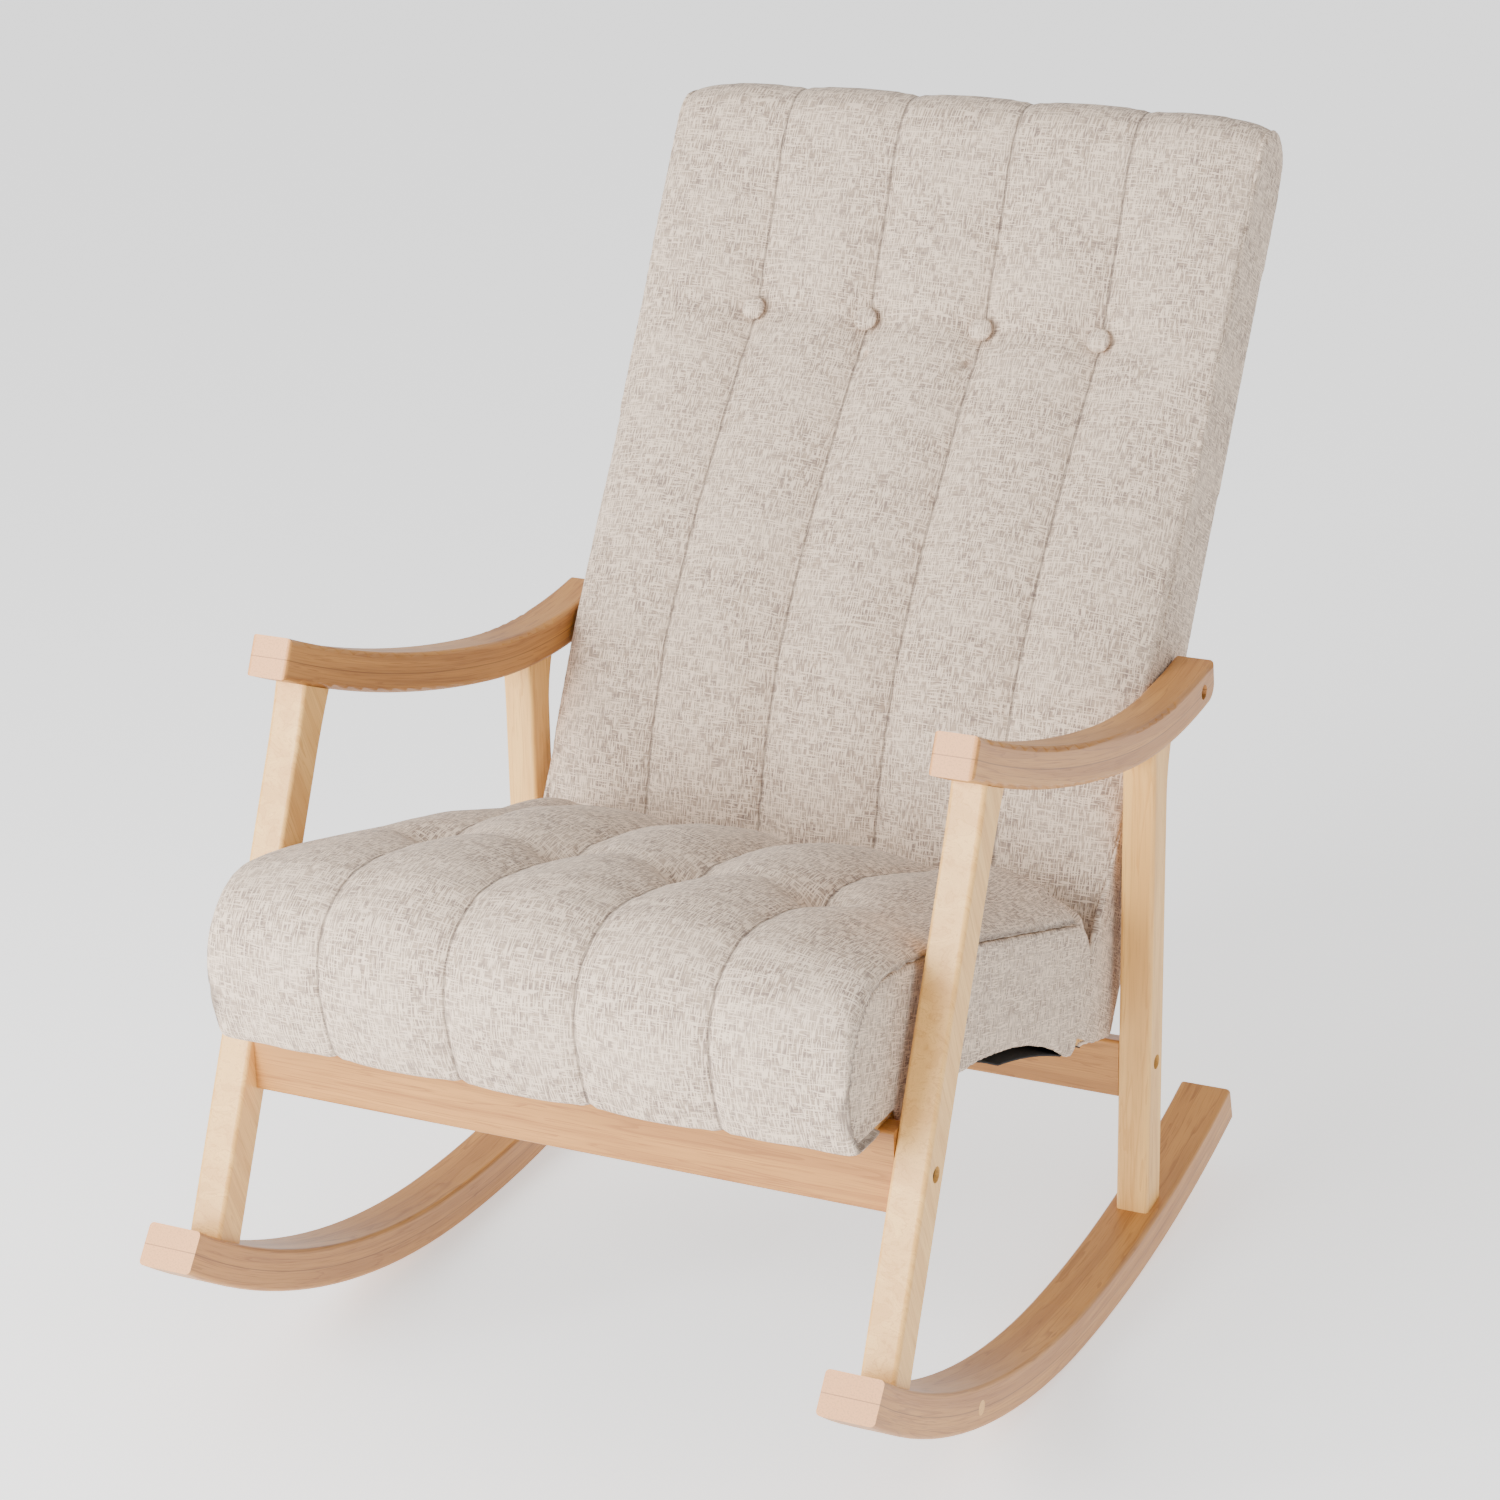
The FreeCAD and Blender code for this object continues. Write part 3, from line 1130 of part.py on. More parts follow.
button = new_body("Button")
pad(button, circles(button, "ButtonRound", "XZ_Plane", [("0", "0", "button_diameter")]),
    "button_thickness")
round_edges(button, "button_round",
            lambda edge: abs(edge.CenterOfMass.y + value("button_thickness")) < TOUCH)
derive("button_front", "button_sink - fit_gap")
copies("back_buttons", button, [
    ("%s * channel_width / 2" % place,
     "back_reach + button_front * cos(back_recline) + button_height * sin(back_recline)",
     "back_height - button_front * sin(back_recline) + button_height * cos(back_recline)",
     (1, 0, 0), "-back_recline") for place in BUTTON_PLACES])

# Elastic straps across the back's stiles, behind the cushion

straps = []
CURVED_STRAP_SHARES = (0.16, 0.27, 0.38, 0.49, 0.6)
STRAIGHT_STRAP_SHARES = (0.777, 0.87)
places = [(share, True) for share in CURVED_STRAP_SHARES]
places += [(share, False) for share in STRAIGHT_STRAP_SHARES]
for number, (share, curved) in enumerate(places):
    height = "(back_length * %s)" % share
    rise = "(%s - (back_lumbar_low + back_lumbar_high) / 2)" % height
    swell = "(sqrt(back_lumbar_radius^2 - %s^2) - back_lumbar_radius + back_lumbar_rise)" % rise
    lean = "(back_recline + asin(%s / back_lumbar_radius) / 1deg)" % rise
    if not curved:
        swell = "0"
        lean = "back_recline"
    front = "(back_frame_front - strap_thickness - fit_gap - %s)" % swell
    strap = doc.addObject("Part::Box", "Strap%d" % number)
    strap.Placement = Placement(Vector(), Rotation(Vector(1, 0, 0), -value(lean)))
    strap.setExpression("Placement.Rotation.Angle", full("-" + lean))
    strap.setExpression("Length", full("2 * back_stile_outer"))
    strap.setExpression("Width", full("strap_thickness"))
    strap.setExpression("Height", full("strap_width"))
    strap.setExpression("Placement.Base.x", full("-back_stile_outer"))
    strap.setExpression("Placement.Base.y", full(
        "back_reach + %s * cos(back_recline) + %s * sin(back_recline)"
        " - strap_width / 2 * sin(%s)" % (front, height, lean)))
    strap.setExpression("Placement.Base.z", full(
        "back_height - %s * sin(back_recline) + %s * cos(back_recline)"
        " - strap_width / 2 * cos(%s)" % (front, height, lean)))
    straps.append(strap)
strap_group = doc.addObject("Part::Compound", "back_straps")
strap_group.Links = straps
strap_group.Label = "back_straps"
hand_in(strap_group)

# Tee nuts in the stiles, for the bolts that come through the armrests

nut = new_body("TeeNut")
turned = nut.newObject("PartDesign::Revolution", "TeeNutTurned")
turned.Profile = outline(nut, "TeeNutOutline", "XY_Plane", [
    ("0", "bolt_bore / 2"), ("0", "tee_flange_diameter / 2"),
    ("tee_flange_thickness", "tee_flange_diameter / 2"),
    ("tee_flange_thickness", "tee_barrel_diameter / 2"),
    ("tee_flange_thickness + tee_barrel_length", "tee_barrel_diameter / 2"),
    ("tee_flange_thickness + tee_barrel_length", "bolt_bore / 2")])
turned.ReferenceAxis = (turned.Profile[0], ["H_Axis"])
turned.Angle = 360
copies("tee_nuts", nut, [
    ("%d * (back_stile_inner - tee_flange_thickness)" % side, "arm_bolt_reach",
     "arm_bolt_height", UP, turn) for side, turn in ((1, "0"), (-1, "180"))])

# Bolts that join the seat to the back, with tee nuts behind the foot rail

head = "seat_rear_rail_front - bolt_head_height"
joining = copies("seat_bolts", bolt, [
    (x, head, "seat_bolt_height", UP, "-90") for x in bolt_row])
attitude(joining, "-back_recline", "back_reach", "back_height")
nuts = copies("seat_tee_nuts", nut, [
    (x, "back_pad_back + tee_flange_thickness", "seat_bolt_height", UP, "-90")
    for x in bolt_row])
attitude(nuts, "-back_recline", "back_reach", "back_height")

doc.recompute()
bad = [o.Name for o in doc.Objects if "Invalid" in o.State or "Error" in o.State]
bad += [item.Label for item in parts
        if item.Shape.isNull() or not item.Shape.isValid() or not item.Shape.Solids]
if bad:
    raise ValueError("these sub-parts are not sound: %s" % ", ".join(bad))
for item in parts:
    item.Shape.exportStep("parts/%s.step" % item.Label)
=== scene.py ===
"""High-back rocking chair: wooden frame, padded seat and back in linen, with its stage.

Lengths are in metres in the chair's own frame: +X to the sitter's left, +Y to the rear, +Z up,
the floor at Z = 0.
"""
import math

import bmesh
import bpy
import numpy as np
from mathutils import Matrix, Vector


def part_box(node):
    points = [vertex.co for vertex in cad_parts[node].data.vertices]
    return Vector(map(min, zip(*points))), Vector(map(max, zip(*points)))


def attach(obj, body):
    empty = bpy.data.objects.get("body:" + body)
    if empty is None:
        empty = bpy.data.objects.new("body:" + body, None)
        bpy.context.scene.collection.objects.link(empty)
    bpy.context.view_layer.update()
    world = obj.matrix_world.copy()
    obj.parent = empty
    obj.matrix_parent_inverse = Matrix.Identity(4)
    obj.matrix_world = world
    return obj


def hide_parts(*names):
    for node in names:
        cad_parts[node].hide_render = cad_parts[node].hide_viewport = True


bl_info = {
    "name": "Upholstered rocking chair",
    "version": (1, 0, 0),
    "blender": (4, 5, 0),
    "location": "3D View > Sidebar > Rocker",
    "description": "Dresses the frame of a high-back rocking chair in wood, metal and linen",
    "category": "Object",
}

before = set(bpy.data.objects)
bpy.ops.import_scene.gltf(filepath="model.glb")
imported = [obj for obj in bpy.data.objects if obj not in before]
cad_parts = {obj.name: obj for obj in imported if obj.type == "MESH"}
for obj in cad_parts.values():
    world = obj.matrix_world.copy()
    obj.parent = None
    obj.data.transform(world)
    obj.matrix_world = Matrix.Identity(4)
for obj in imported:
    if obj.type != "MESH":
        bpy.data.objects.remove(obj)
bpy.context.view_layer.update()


def arc(centre, radius, start, end, count):
    """Points of an arc, from one angle to another in degrees."""
    turns = [math.radians(start + (end - start) * step / count) for step in range(count + 1)]
    return [(centre[0] + radius * math.cos(turn), centre[1] + radius * math.sin(turn))
            for turn in turns]


# Reference lines of the two cushions in the YZ plane, from the rear or the foot to the far end
SEAT_LINE = [(0.060, 0.300), (0.058, 0.351), (0.012, 0.379), (-0.036, 0.404), (-0.086, 0.426),
             (-0.137, 0.444), (-0.189, 0.459), (-0.243, 0.469), (-0.296, 0.478), (-0.349, 0.489),
             (-0.390, 0.493), (-0.425, 0.486), (-0.452, 0.469), (-0.467, 0.445), (-0.471, 0.415),
             (-0.466, 0.385), (-0.455, 0.362), (-0.438, 0.348), (-0.420, 0.341), (-0.370, 0.340)]
BACK_LINE = [(0.062, 0.250), (0.083, 0.320), (0.097, 0.348), (0.113, 0.416), (0.137, 0.481),
             (0.169, 0.542), (0.208, 0.600), (0.251, 0.654), (0.296, 0.707), (0.343, 0.758),
             (0.377, 0.818), (0.406, 0.881), (0.432, 0.928), (0.450, 0.950), (0.475, 0.960),
             (0.499, 0.948), (0.508, 0.925), (0.500, 0.900), (0.470, 0.850)]
SEAMS = (-0.1725, -0.0575, 0.0575, 0.1725)
# Outline of the seat's side panels in the YZ plane: rear foot, arch, nose, top edge
SEAT_SIDE = [(0.0290, 0.2430), (0.0215, 0.2325), (0.0130, 0.2315), (0.0020, 0.2365),
             (-0.010, 0.2440), (-0.026, 0.2545), (-0.048, 0.2665), (-0.085, 0.2836),
             (-0.122, 0.297), (-0.160, 0.3078), (-0.200, 0.3175), (-0.240, 0.3231),
             (-0.281, 0.3246), (-0.322, 0.3219), (-0.355, 0.317), (-0.3645, 0.348),
             (-0.4395, 0.350), (-0.4490, 0.366), (-0.4535, 0.380), (-0.4552, 0.3931),
             (-0.4540, 0.407), (-0.4500, 0.422), (-0.4440, 0.436), (-0.4360, 0.4475),
             (-0.4255, 0.4575), (-0.4130, 0.4640), (-0.3970, 0.4670), (-0.3780, 0.4668),
             (-0.3500, 0.4635), (-0.3157, 0.4560), (-0.2600, 0.4420), (-0.120, 0.3978),
             (0.010, 0.3561)]
# The same with the rounded corner at the rear top
SEAT_PANEL = SEAT_SIDE + arc((0.015, 0.3073), 0.045, 70, -20, 10)
SEAT_SLOPE = math.radians(17.8)
# Seat cushion. A range of two values is for ramp: where it starts and where it is full
TUFT_ROW = (-0.2695, 0.4720)
# Raised rear corners: height, place and spread along Y, range across, range past the side
# panels' outline, and the least height that takes part
CORNER_RISE, CORNER_Y, CORNER_SPREAD = 0.022, 0.018, 0.062
CORNER_ACROSS, CORNER_PAST, CORNER_LEAST = (0.13, 0.22), (0, 0.008), 0.33
# Roll past the side panels: start, width and spread, its ranges across, past the outline and
# along Y, and half the width of the cushion between the panels
ROLL_START, ROLL_WIDTH, ROLL_SPREAD = 0.259, 0.0265, 0.022
ROLL_ACROSS, ROLL_PAST, ROLL_REAR = (0.245, 0.275), (0, 0.0015), (0.045, 0.025)
SEAT_INNER = 0.2755
# Nose: heights over which it swells less, the place along Y in front of which it does, and the
# place behind which its underside is held
NOSE_LOW, NOSE_FRONT, NOSE_UNDER = (0.44, 0.37), -0.38, -0.43

# The back leans, and has its own depth and height from its foot (y, z)
BACK_LEAN = math.radians(30.2)
BACK_FOOT = (0.0255, 0.231)
ACROSS, REARWARD = (1, 0, 0), (0, 1, 0)
BACK_DEEP = np.array((0, math.cos(BACK_LEAN), -math.sin(BACK_LEAN)))
BACK_UP = np.array((0, math.sin(BACK_LEAN), math.cos(BACK_LEAN)))
# Height, depth and radius of the roll at its top, half the width at the foot and its gain up to
# the roll, depth of the rear face at the foot and at the roll, and the slope of its underside
HEAD_HIGH, HEAD_DEEP, HEAD_RADIUS = 0.821, 0.039, 0.0355
BACK_HALF, BACK_GAIN = 0.2800, 0.0125
REAR_FOOT, REAR_TOP = 0.0935, 0.0775
FOOT_SLOPE = math.tan(math.radians(15.2))
# Head of the cushion: heights over which it swells less and over which its seams are filled, and
# the range over which a point inside the side panels is tucked behind them, by this gap
HEAD_LOW, HEAD_FULL, TUCK_DEPTH, TUCK_GAP = (0.88, 0.93), (0.865, 0.915), (0, 0.003), 0.003
# Buttons: radius, share of it that is left in depth, and how far they stand out of their seats
BUTTON_RADIUS, BUTTON_FLAT, BUTTON_OUT = 0.0112, 0.40, (0, -0.0022, 0.0013)

# Cushions: depth of the padded side under its reference line, how close to a seam a point keeps
# its place and is held in the swelling, half the width of a pressed seam, and the share of x in a
# normal from which a face belongs to the side
SHELL, FREE, HELD, CREASE, SIDE = 0.045, 0.005, 0.0042, 0.0050, 0.8
# How far out the two are drawn in, how far out the folds between tufts or buttons reach, half the
# width of the cloth before it turns to the sides, and the share that the swelling loses low on
# the nose and at the head
SEAT_EDGE, BACK_EDGE = (0.262, 0.242), (0.270, 0.250)
SEAT_FOLD_END, BACK_FOLD_END = (0.235, 0.195), (0.27, 0.22)
SEAT_CLOTH, BACK_CLOTH = 0.28, 0.29
NOSE_CALM, HEAD_CALM = 0.65, 0.75
# Share and spread of the two dishes of a tuft, depth and spread of the folds that join the tufts
# and the buttons, the same of a button's dish, and how far round each the cloth is held
TUFT_DISHES = ((0.55, 0.028), (0.45, 0.012))
TUFT_FOLD, TUFT_SPREAD, TUFT_HELD = 0.004, 0.012, 0.009
BUTTON_FOLD, BUTTON_SPREAD, BUTTON_HELD = 0.0030, 0.010, 0.011
DISH_DEPTH, DISH_SPREAD, DISH_SMOOTH = 0.0040, 0.020, 0.017
# Depth that fills the channels' seams at the head, and how far that reaches beside a seam
HEAD_FILL, HEAD_REACH = 0.0062, 0.0575
# The seam round the seat's side panels, along which the linen draws a line of painted shade: how
# far outside them it lies, and the share of the true distance that its width is measured in
HEM_OUT, HEM_SHARE = 0.0030, 0.6
# Dust cover: gain in width and sag at its edges, ranges of this across and along Y, front and rear
COVER_GAIN, COVER_SAG, COVER_ACROSS = 0.082, 0.012, (0.20, 0.255)
COVER_FRONT, COVER_REAR = (-0.20, -0.15), (0.025, -0.005)
# Cloth panels: start, thickness, mesh size and rounds of smoothing
SEAT_SIDE_BOARD = (0.2762, 0.0068, 0.0029, 4)
BACK_SIDE_BOARD = (-0.007, 0.007, 0.0032, 4)
BACK_REAR_BOARD = (-0.008, 0.008, 0.0045, 4)
BACK_TOP_BOARD = (-0.008, 0.008, 0.0045, 3)
BACK_FOOT_BOARD = (0.0, 0.006, 0.0040, 3)

# The two arcs of a rocker and of an armrest in the YZ plane, each by its centre and radius, and
# the place along Y where they meet. A glue line lies GLUE above or below them
ROCKER_ARCS = (((-0.0380, 0.8054), 0.805), ((-0.0195, 1.214), 1.214), -0.0744)
ARMREST_ARCS = (((0.3291, 2.0049), 1.503), ((0.1565, 1.142), 0.623), 0.0345)
FRONT_LEG_LEAN = math.radians(-23.5)
GLUE, GLUE_WIDTH = 0.018, 0.0007

# Plain stuffs: tone, tone of the mottle, roughness, metal and fineness of the mottle
BLACK_STEEL = ((0.012, 0.012, 0.012), (0.03, 0.03, 0.03), 0.4, 0.6, 900.0)
ZINC = ((0.55, 0.55, 0.53), (0.68, 0.67, 0.62), 0.35, 1.0, 400.0)
LINING = ((0.006, 0.006, 0.006), (0.016, 0.016, 0.017), 0.95, 0.0, 1500.0)
WEBBING = ((0.03, 0.03, 0.03), (0.07, 0.07, 0.07), 0.9, 0.0, 700.0)
# Where the cloth's light threads, greyer threads and patches begin and end in their noise
WARP_STEP, WEFT_STEP = (0.49, 0.58), (0.55, 0.63)
GREY_STEP, PATCH_STEP = (0.52, 0.62), (0.35, 0.70)

# Stage: half the floor's size and its depth under the feet, lights by name, place, aim, size and
# setting, and the camera's place, right, up and back
FLOOR_SIZE, FLOOR_DROP = 40.0, 0.0005
LIGHTS = (("Key", (-1.2, -2.9, 1.5), (0, 0, 0.45), 1.8, "key"),
          ("Fill", (3.4, -1.2, 1.6), (0, 0, 0.5), 2.4, "fill"))
CAMERA_PLACE = (1.37439, -2.86382, 1.65212)
CAMERA_AXES = ((0.90261, 0.43005, -0.01890), (-0.13283, 0.32001, 0.93806),
               (0.40946, -0.84418, 0.34597))

# Steps of the cushions' swelling
CLOTH_STEPS = 20


# ---------------------------------------------------------------- sizes and colours

def colour(name, value, text):
    return bpy.props.FloatVectorProperty(
        name=name, description=text, default=value, subtype="COLOR", size=3, min=0, max=1)


def length(name, value, text):
    return bpy.props.FloatProperty(
        name=name, description=text, default=value, unit="LENGTH", precision=4)


def amount(name, value, text):
    return bpy.props.FloatProperty(name=name, description=text, default=value)


class RockerLinen(bpy.types.PropertyGroup):
    light: colour("Light thread", (0.800, 0.640, 0.495), "Colour of the pale slubs")
    ground: colour("Ground", (0.400, 0.300, 0.225), "Colour of the cloth between the slubs")
    dark: colour("Dark thread", (0.200, 0.148, 0.130), "Colour of the greyer threads")
    thread: length("Thread width", 0.0012, "Width of one slub thread")
    slub: length("Slub length", 0.012, "Length of one slub along its thread")
    depth: length("Weave depth", 0.0003, "Height of the threads over the gaps")
    # Width of the line of painted shade along each seam, where the cloth creases in
    seam_shade_width: length("Seam shade width", 0.0020, "Width of the painted shade in a seam")
    grey: amount("Grey share", 0.80, "How strongly the greyer threads show")
    patch: amount("Patch share", 0.25, "How strongly the cloth lightens in patches")
    pale: amount("Slub share", 0.85, "How strongly the pale slubs show")
    # How dark the painted shade along each seam is
    stitch: amount("Seam shade share", 0.55, "How dark the painted shade in a seam is")


class RockerWood(bpy.types.PropertyGroup):
    leg: colour("Leg wood", (0.900, 0.535, 0.170), "Main colour of the legs")
    leg_line: colour("Leg grain", (0.640, 0.300, 0.070), "Colour of the legs' grain lines")
    arm: colour("Arm wood", (0.550, 0.255, 0.060), "Main colour of arms, rockers and rails")
    arm_line: colour("Arm grain", (0.280, 0.100, 0.022), "Grain lines of arms, rockers and rails")
    end: colour("End grain", (0.760, 0.350, 0.125), "Colour of the cut ends")
    ring: length("Grain pitch", 0.007, "Distance between two grain lines")
    band: amount("Band share", 0.55, "How strongly the grain's broad bands show")
    lines: amount("Line share", 0.55, "How strongly the grain lines show")
    pores: amount("Pore share", 0.45, "How strongly the fine pores show")


class RockerPadding(bpy.types.PropertyGroup):
    voxel: length("Mesh size", 0.0072, "Size of the cushions' mesh before they swell")
    inset: length("Inset", 0.0015, "How far a cushion starts inside its space")
    cap: length("Swell limit", 0.012, "How far a point of a cushion may move")
    seam: length("Seam depth", 0.0034, "Depth of a sewn seam")
    tuft: length("Tuft depth", 0.019, "Depth of the seat's four tufts")
    pressure: amount("Pressure", 1.2, "Pressure of the filling")


class RockerStudio(bpy.types.PropertyGroup):
    lens: bpy.props.FloatProperty(
        name="Lens", description="Focal length of the camera", default=93.25, unit="CAMERA")
    key: amount("Key light", 205.0, "Power of the large light at the front")
    fill: amount("Fill light", 8.0, "Power of the light at the side")
    sky: amount("Sky", 0.95, "Strength of the even light from all round")
    glow: amount("Floor glow", 0.80, "How far the floor shines by itself")


# ---------------------------------------------------------------- node helpers

class Shader:
    """A material's nodes, added and linked in short calls."""

    def __init__(self, name):
        self.material = bpy.data.materials.new(name)
        self.material.use_nodes = True
        self.tree = self.material.node_tree
        self.tree.nodes.clear()
        self.body = self.tree.nodes.new("ShaderNodeBsdfPrincipled")
        out = self.tree.nodes.new("ShaderNodeOutputMaterial")
        self.join(self.body.outputs[0], out.inputs[0])

    def join(self, source, target):
        self.tree.links.new(source, target)

    def put(self, socket, value):
        if isinstance(value, bpy.types.NodeSocket):
            self.join(value, socket)
        else:
            socket.default_value = value

    def place(self):
        return self.tree.nodes.new("ShaderNodeTexCoord").outputs["Object"]

    def uv(self, name):
        node = self.tree.nodes.new("ShaderNodeUVMap")
        node.uv_map = name
        return node.outputs[0]

    def attribute(self, name):
        node = self.tree.nodes.new("ShaderNodeAttribute")
        node.attribute_name = name
        return node.outputs["Fac"]

    def turned(self, vector, place=(0, 0, 0), turn=(0, 0, 0), size=(1, 1, 1)):
        node = self.tree.nodes.new("ShaderNodeMapping")
        self.put(node.inputs["Vector"], vector)
        node.inputs["Location"].default_value = place
        node.inputs["Rotation"].default_value = turn
        node.inputs["Scale"].default_value = size
        return node.outputs[0]

    def split(self, vector):
        node = self.tree.nodes.new("ShaderNodeSeparateXYZ")
        self.put(node.inputs[0], vector)
        return node.outputs

    def merge(self, x, y, z):
        node = self.tree.nodes.new("ShaderNodeCombineXYZ")
        for socket, value in zip(node.inputs, (x, y, z)):
            self.put(socket, value)
        return node.outputs[0]

    def math(self, kind, first, second=0.0, third=0.0):
        node = self.tree.nodes.new("ShaderNodeMath")
        node.operation = kind
        for socket, value in zip(node.inputs, (first, second, third)):
            self.put(socket, value)
        return node.outputs[0]

    def times(self, first, second):
        return self.math("MULTIPLY", first, second)

    def gap(self, value, place):
        return self.math("ABSOLUTE", self.math("SUBTRACT", value, place))

    def noise(self, vector, scale=1.0, detail=2.0, rough=0.5, twist=0.0):
        node = self.tree.nodes.new("ShaderNodeTexNoise")
        self.put(node.inputs["Vector"], vector)
        node.inputs["Scale"].default_value = scale
        node.inputs["Detail"].default_value = detail
        node.inputs["Roughness"].default_value = rough
        node.inputs["Distortion"].default_value = twist
        return node.outputs["Fac"]

    def span(self, value, low, high, start=0.0, end=1.0):
        node = self.tree.nodes.new("ShaderNodeMapRange")
        node.interpolation_type = "SMOOTHSTEP"
        for name, item in (("Value", value), ("From Min", low), ("From Max", high),
                           ("To Min", start), ("To Max", end)):
            self.put(node.inputs[name], item)
        return node.outputs[0]

    def mix(self, share, first, second):
        node = self.tree.nodes.new("ShaderNodeMix")
        node.data_type = "RGBA"
        self.put(node.inputs[0], share)
        for socket, value in ((node.inputs[6], first), (node.inputs[7], second)):
            if not isinstance(value, bpy.types.NodeSocket):
                value = (*value, 1.0)
            self.put(socket, value)
        return node.outputs[2]

    def face(self):
        return self.tree.nodes.new("ShaderNodeNewGeometry").outputs["Normal"]

    def dot(self, first, second):
        node = self.tree.nodes.new("ShaderNodeVectorMath")
        node.operation = "DOT_PRODUCT"
        self.put(node.inputs[0], first)
        self.put(node.inputs[1], second)
        return node.outputs["Value"]

    def bump(self, height, depth, normal=None):
        node = self.tree.nodes.new("ShaderNodeBump")
        node.inputs["Distance"].default_value = depth
        self.put(node.inputs["Height"], height)
        if normal is not None:
            self.put(node.inputs["Normal"], normal)
        return node.outputs[0]


# ---------------------------------------------------------------- materials

def darker(tone, share):
    return tuple(part * share for part in tone)


def linen(name, cloth, seams=(), hem=False):
    """Linen-look cloth on the weave map: u runs across the piece and v along it. seams are the
    places of its channels' seams, each drawn as a dark line of painted shade, and hem draws the
    same painted shade where the hem attribute is zero."""
    shade = Shader(name)
    u, v, _ = shade.split(shade.uv("weave"))
    fine, slow = 1 / cloth.thread, 1 / cloth.slub

    def threads(across, along, layer):
        place = shade.merge(shade.times(u, across), shade.times(v, along), layer)
        return shade.noise(place, detail=1.0)

    warp, weft = threads(fine, slow, 0.0), threads(slow, fine, 7.3)
    dark = shade.math("MAXIMUM",
                      shade.span(threads(fine * 0.9, slow * 0.8, 21.0), *GREY_STEP),
                      shade.span(threads(slow * 0.8, fine * 0.9, 33.0), *GREY_STEP))
    light = shade.math("MAXIMUM", shade.span(warp, *WARP_STEP), shade.span(weft, *WEFT_STEP))
    patch = shade.span(shade.noise(shade.merge(u, v, 3.0), scale=22.0, detail=3.0), *PATCH_STEP)
    base = shade.mix(shade.times(dark, cloth.grey), cloth.ground, cloth.dark)
    base = shade.mix(shade.times(patch, cloth.patch), base, cloth.light)
    base = shade.mix(shade.times(light, cloth.pale), base, cloth.light)
    height = shade.math("ADD", shade.times(warp, 0.6), shade.times(weft, 0.6))
    if seams:
        gap = 1.0
        for seam in seams:
            gap = shade.math("MINIMUM", gap, shade.gap(u, seam))
        if hem:
            gap = shade.math("MINIMUM", gap, shade.math("ABSOLUTE", shade.attribute("hem")))
        # Painted shade: the colour darkens along each seam and the hem where the cloth creases in,
        # and the bump dips there too
        line = shade.span(gap, 0.0, cloth.seam_shade_width, 1.0, 0.0)
        base = shade.mix(shade.times(line, cloth.stitch), base, darker(cloth.dark, 0.35))
        height = shade.math("SUBTRACT", height, shade.times(line, 3.0))
    shade.put(shade.body.inputs["Base Color"], base)
    shade.body.inputs["Roughness"].default_value = 0.92
    shade.body.inputs["Specular IOR Level"].default_value = 0.25
    shade.body.inputs["Sheen Weight"].default_value = 0.08
    shade.body.inputs["Sheen Roughness"].default_value = 0.5
    shade.put(shade.body.inputs["Normal"], shade.bump(height, cloth.depth))
    return shade.material


def wood(name, tones, pair, grain, seed, glue=None):
    """Satin wood in a pair of colours, main and grain lines. grain gives, from the shader, its
    across, depth and along coordinates and the direction of its fibres. A piece with a glue line,
    at the depth glue, shows its cut ends too."""
    shade = Shader(name)
    main, line = pair
    across, deep, along, way = grain(shade)
    slow = shade.merge(shade.times(across, 0.45), deep, shade.times(along, 0.035))
    shifted = shade.turned(slow, place=(seed, seed * 0.37, seed * 0.71))
    broad = shade.noise(shifted, scale=0.6 / tones.ring, detail=3.0, rough=0.55, twist=0.6)
    fine = shade.merge(across, deep, shade.times(along, 0.02))
    fine = shade.noise(shade.turned(fine, place=(seed, 0, 0)), scale=9.0 / tones.ring)
    rings = shade.math("FRACT", shade.times(broad, 7.0))
    rings = shade.times(shade.span(rings, 0.70, 0.97), shade.span(rings, 1.0, 0.97))
    base = shade.mix(shade.times(shade.span(broad, 0.3, 0.7), tones.band), main, line)
    base = shade.mix(shade.times(rings, tones.lines), base, line)
    base = shade.mix(shade.times(shade.span(fine, 0.5, 0.75), tones.pores), base,
                     darker(line, 0.85))
    if glue:
        facing = shade.math("ABSOLUTE", shade.dot(shade.face(), way))
        pores = shade.noise(shade.merge(across, deep, 0.0), scale=700.0, detail=1.0)
        cut = shade.mix(shade.times(shade.span(pores, 0.45, 0.7), 0.25), tones.end, line)
        base = shade.mix(shade.span(facing, 0.70, 0.85), base, cut)
        base = shade.mix(shade.span(shade.gap(deep, glue), 0.0, GLUE_WIDTH, 0.7, 0.0), base,
                         darker(line, 0.45))
    shade.put(shade.body.inputs["Base Color"], base)
    shade.put(shade.body.inputs["Roughness"], shade.span(fine, 0.2, 0.8, 0.42, 0.52))
    shade.body.inputs["Coat Weight"].default_value = 0.10
    shade.body.inputs["Coat Roughness"].default_value = 0.3
    shade.put(shade.body.inputs["Normal"], shade.bump(fine, 0.0001))
    return shade.material


def straight_grain(lean):
    """Grain of a leg that leans to the rear by an angle: across, depth and along."""
    def grain(shade):
        parts = shade.split(shade.turned(shade.place(), turn=(lean, 0, 0)))
        return parts[0], parts[1], parts[2], (0, math.sin(-lean), math.cos(lean))
    return grain


def cross_grain(shade):
    """Grain of a rail that runs from side to side."""
    parts = shade.split(shade.place())
    return parts[1], parts[2], parts[0], (1, 0, 0)


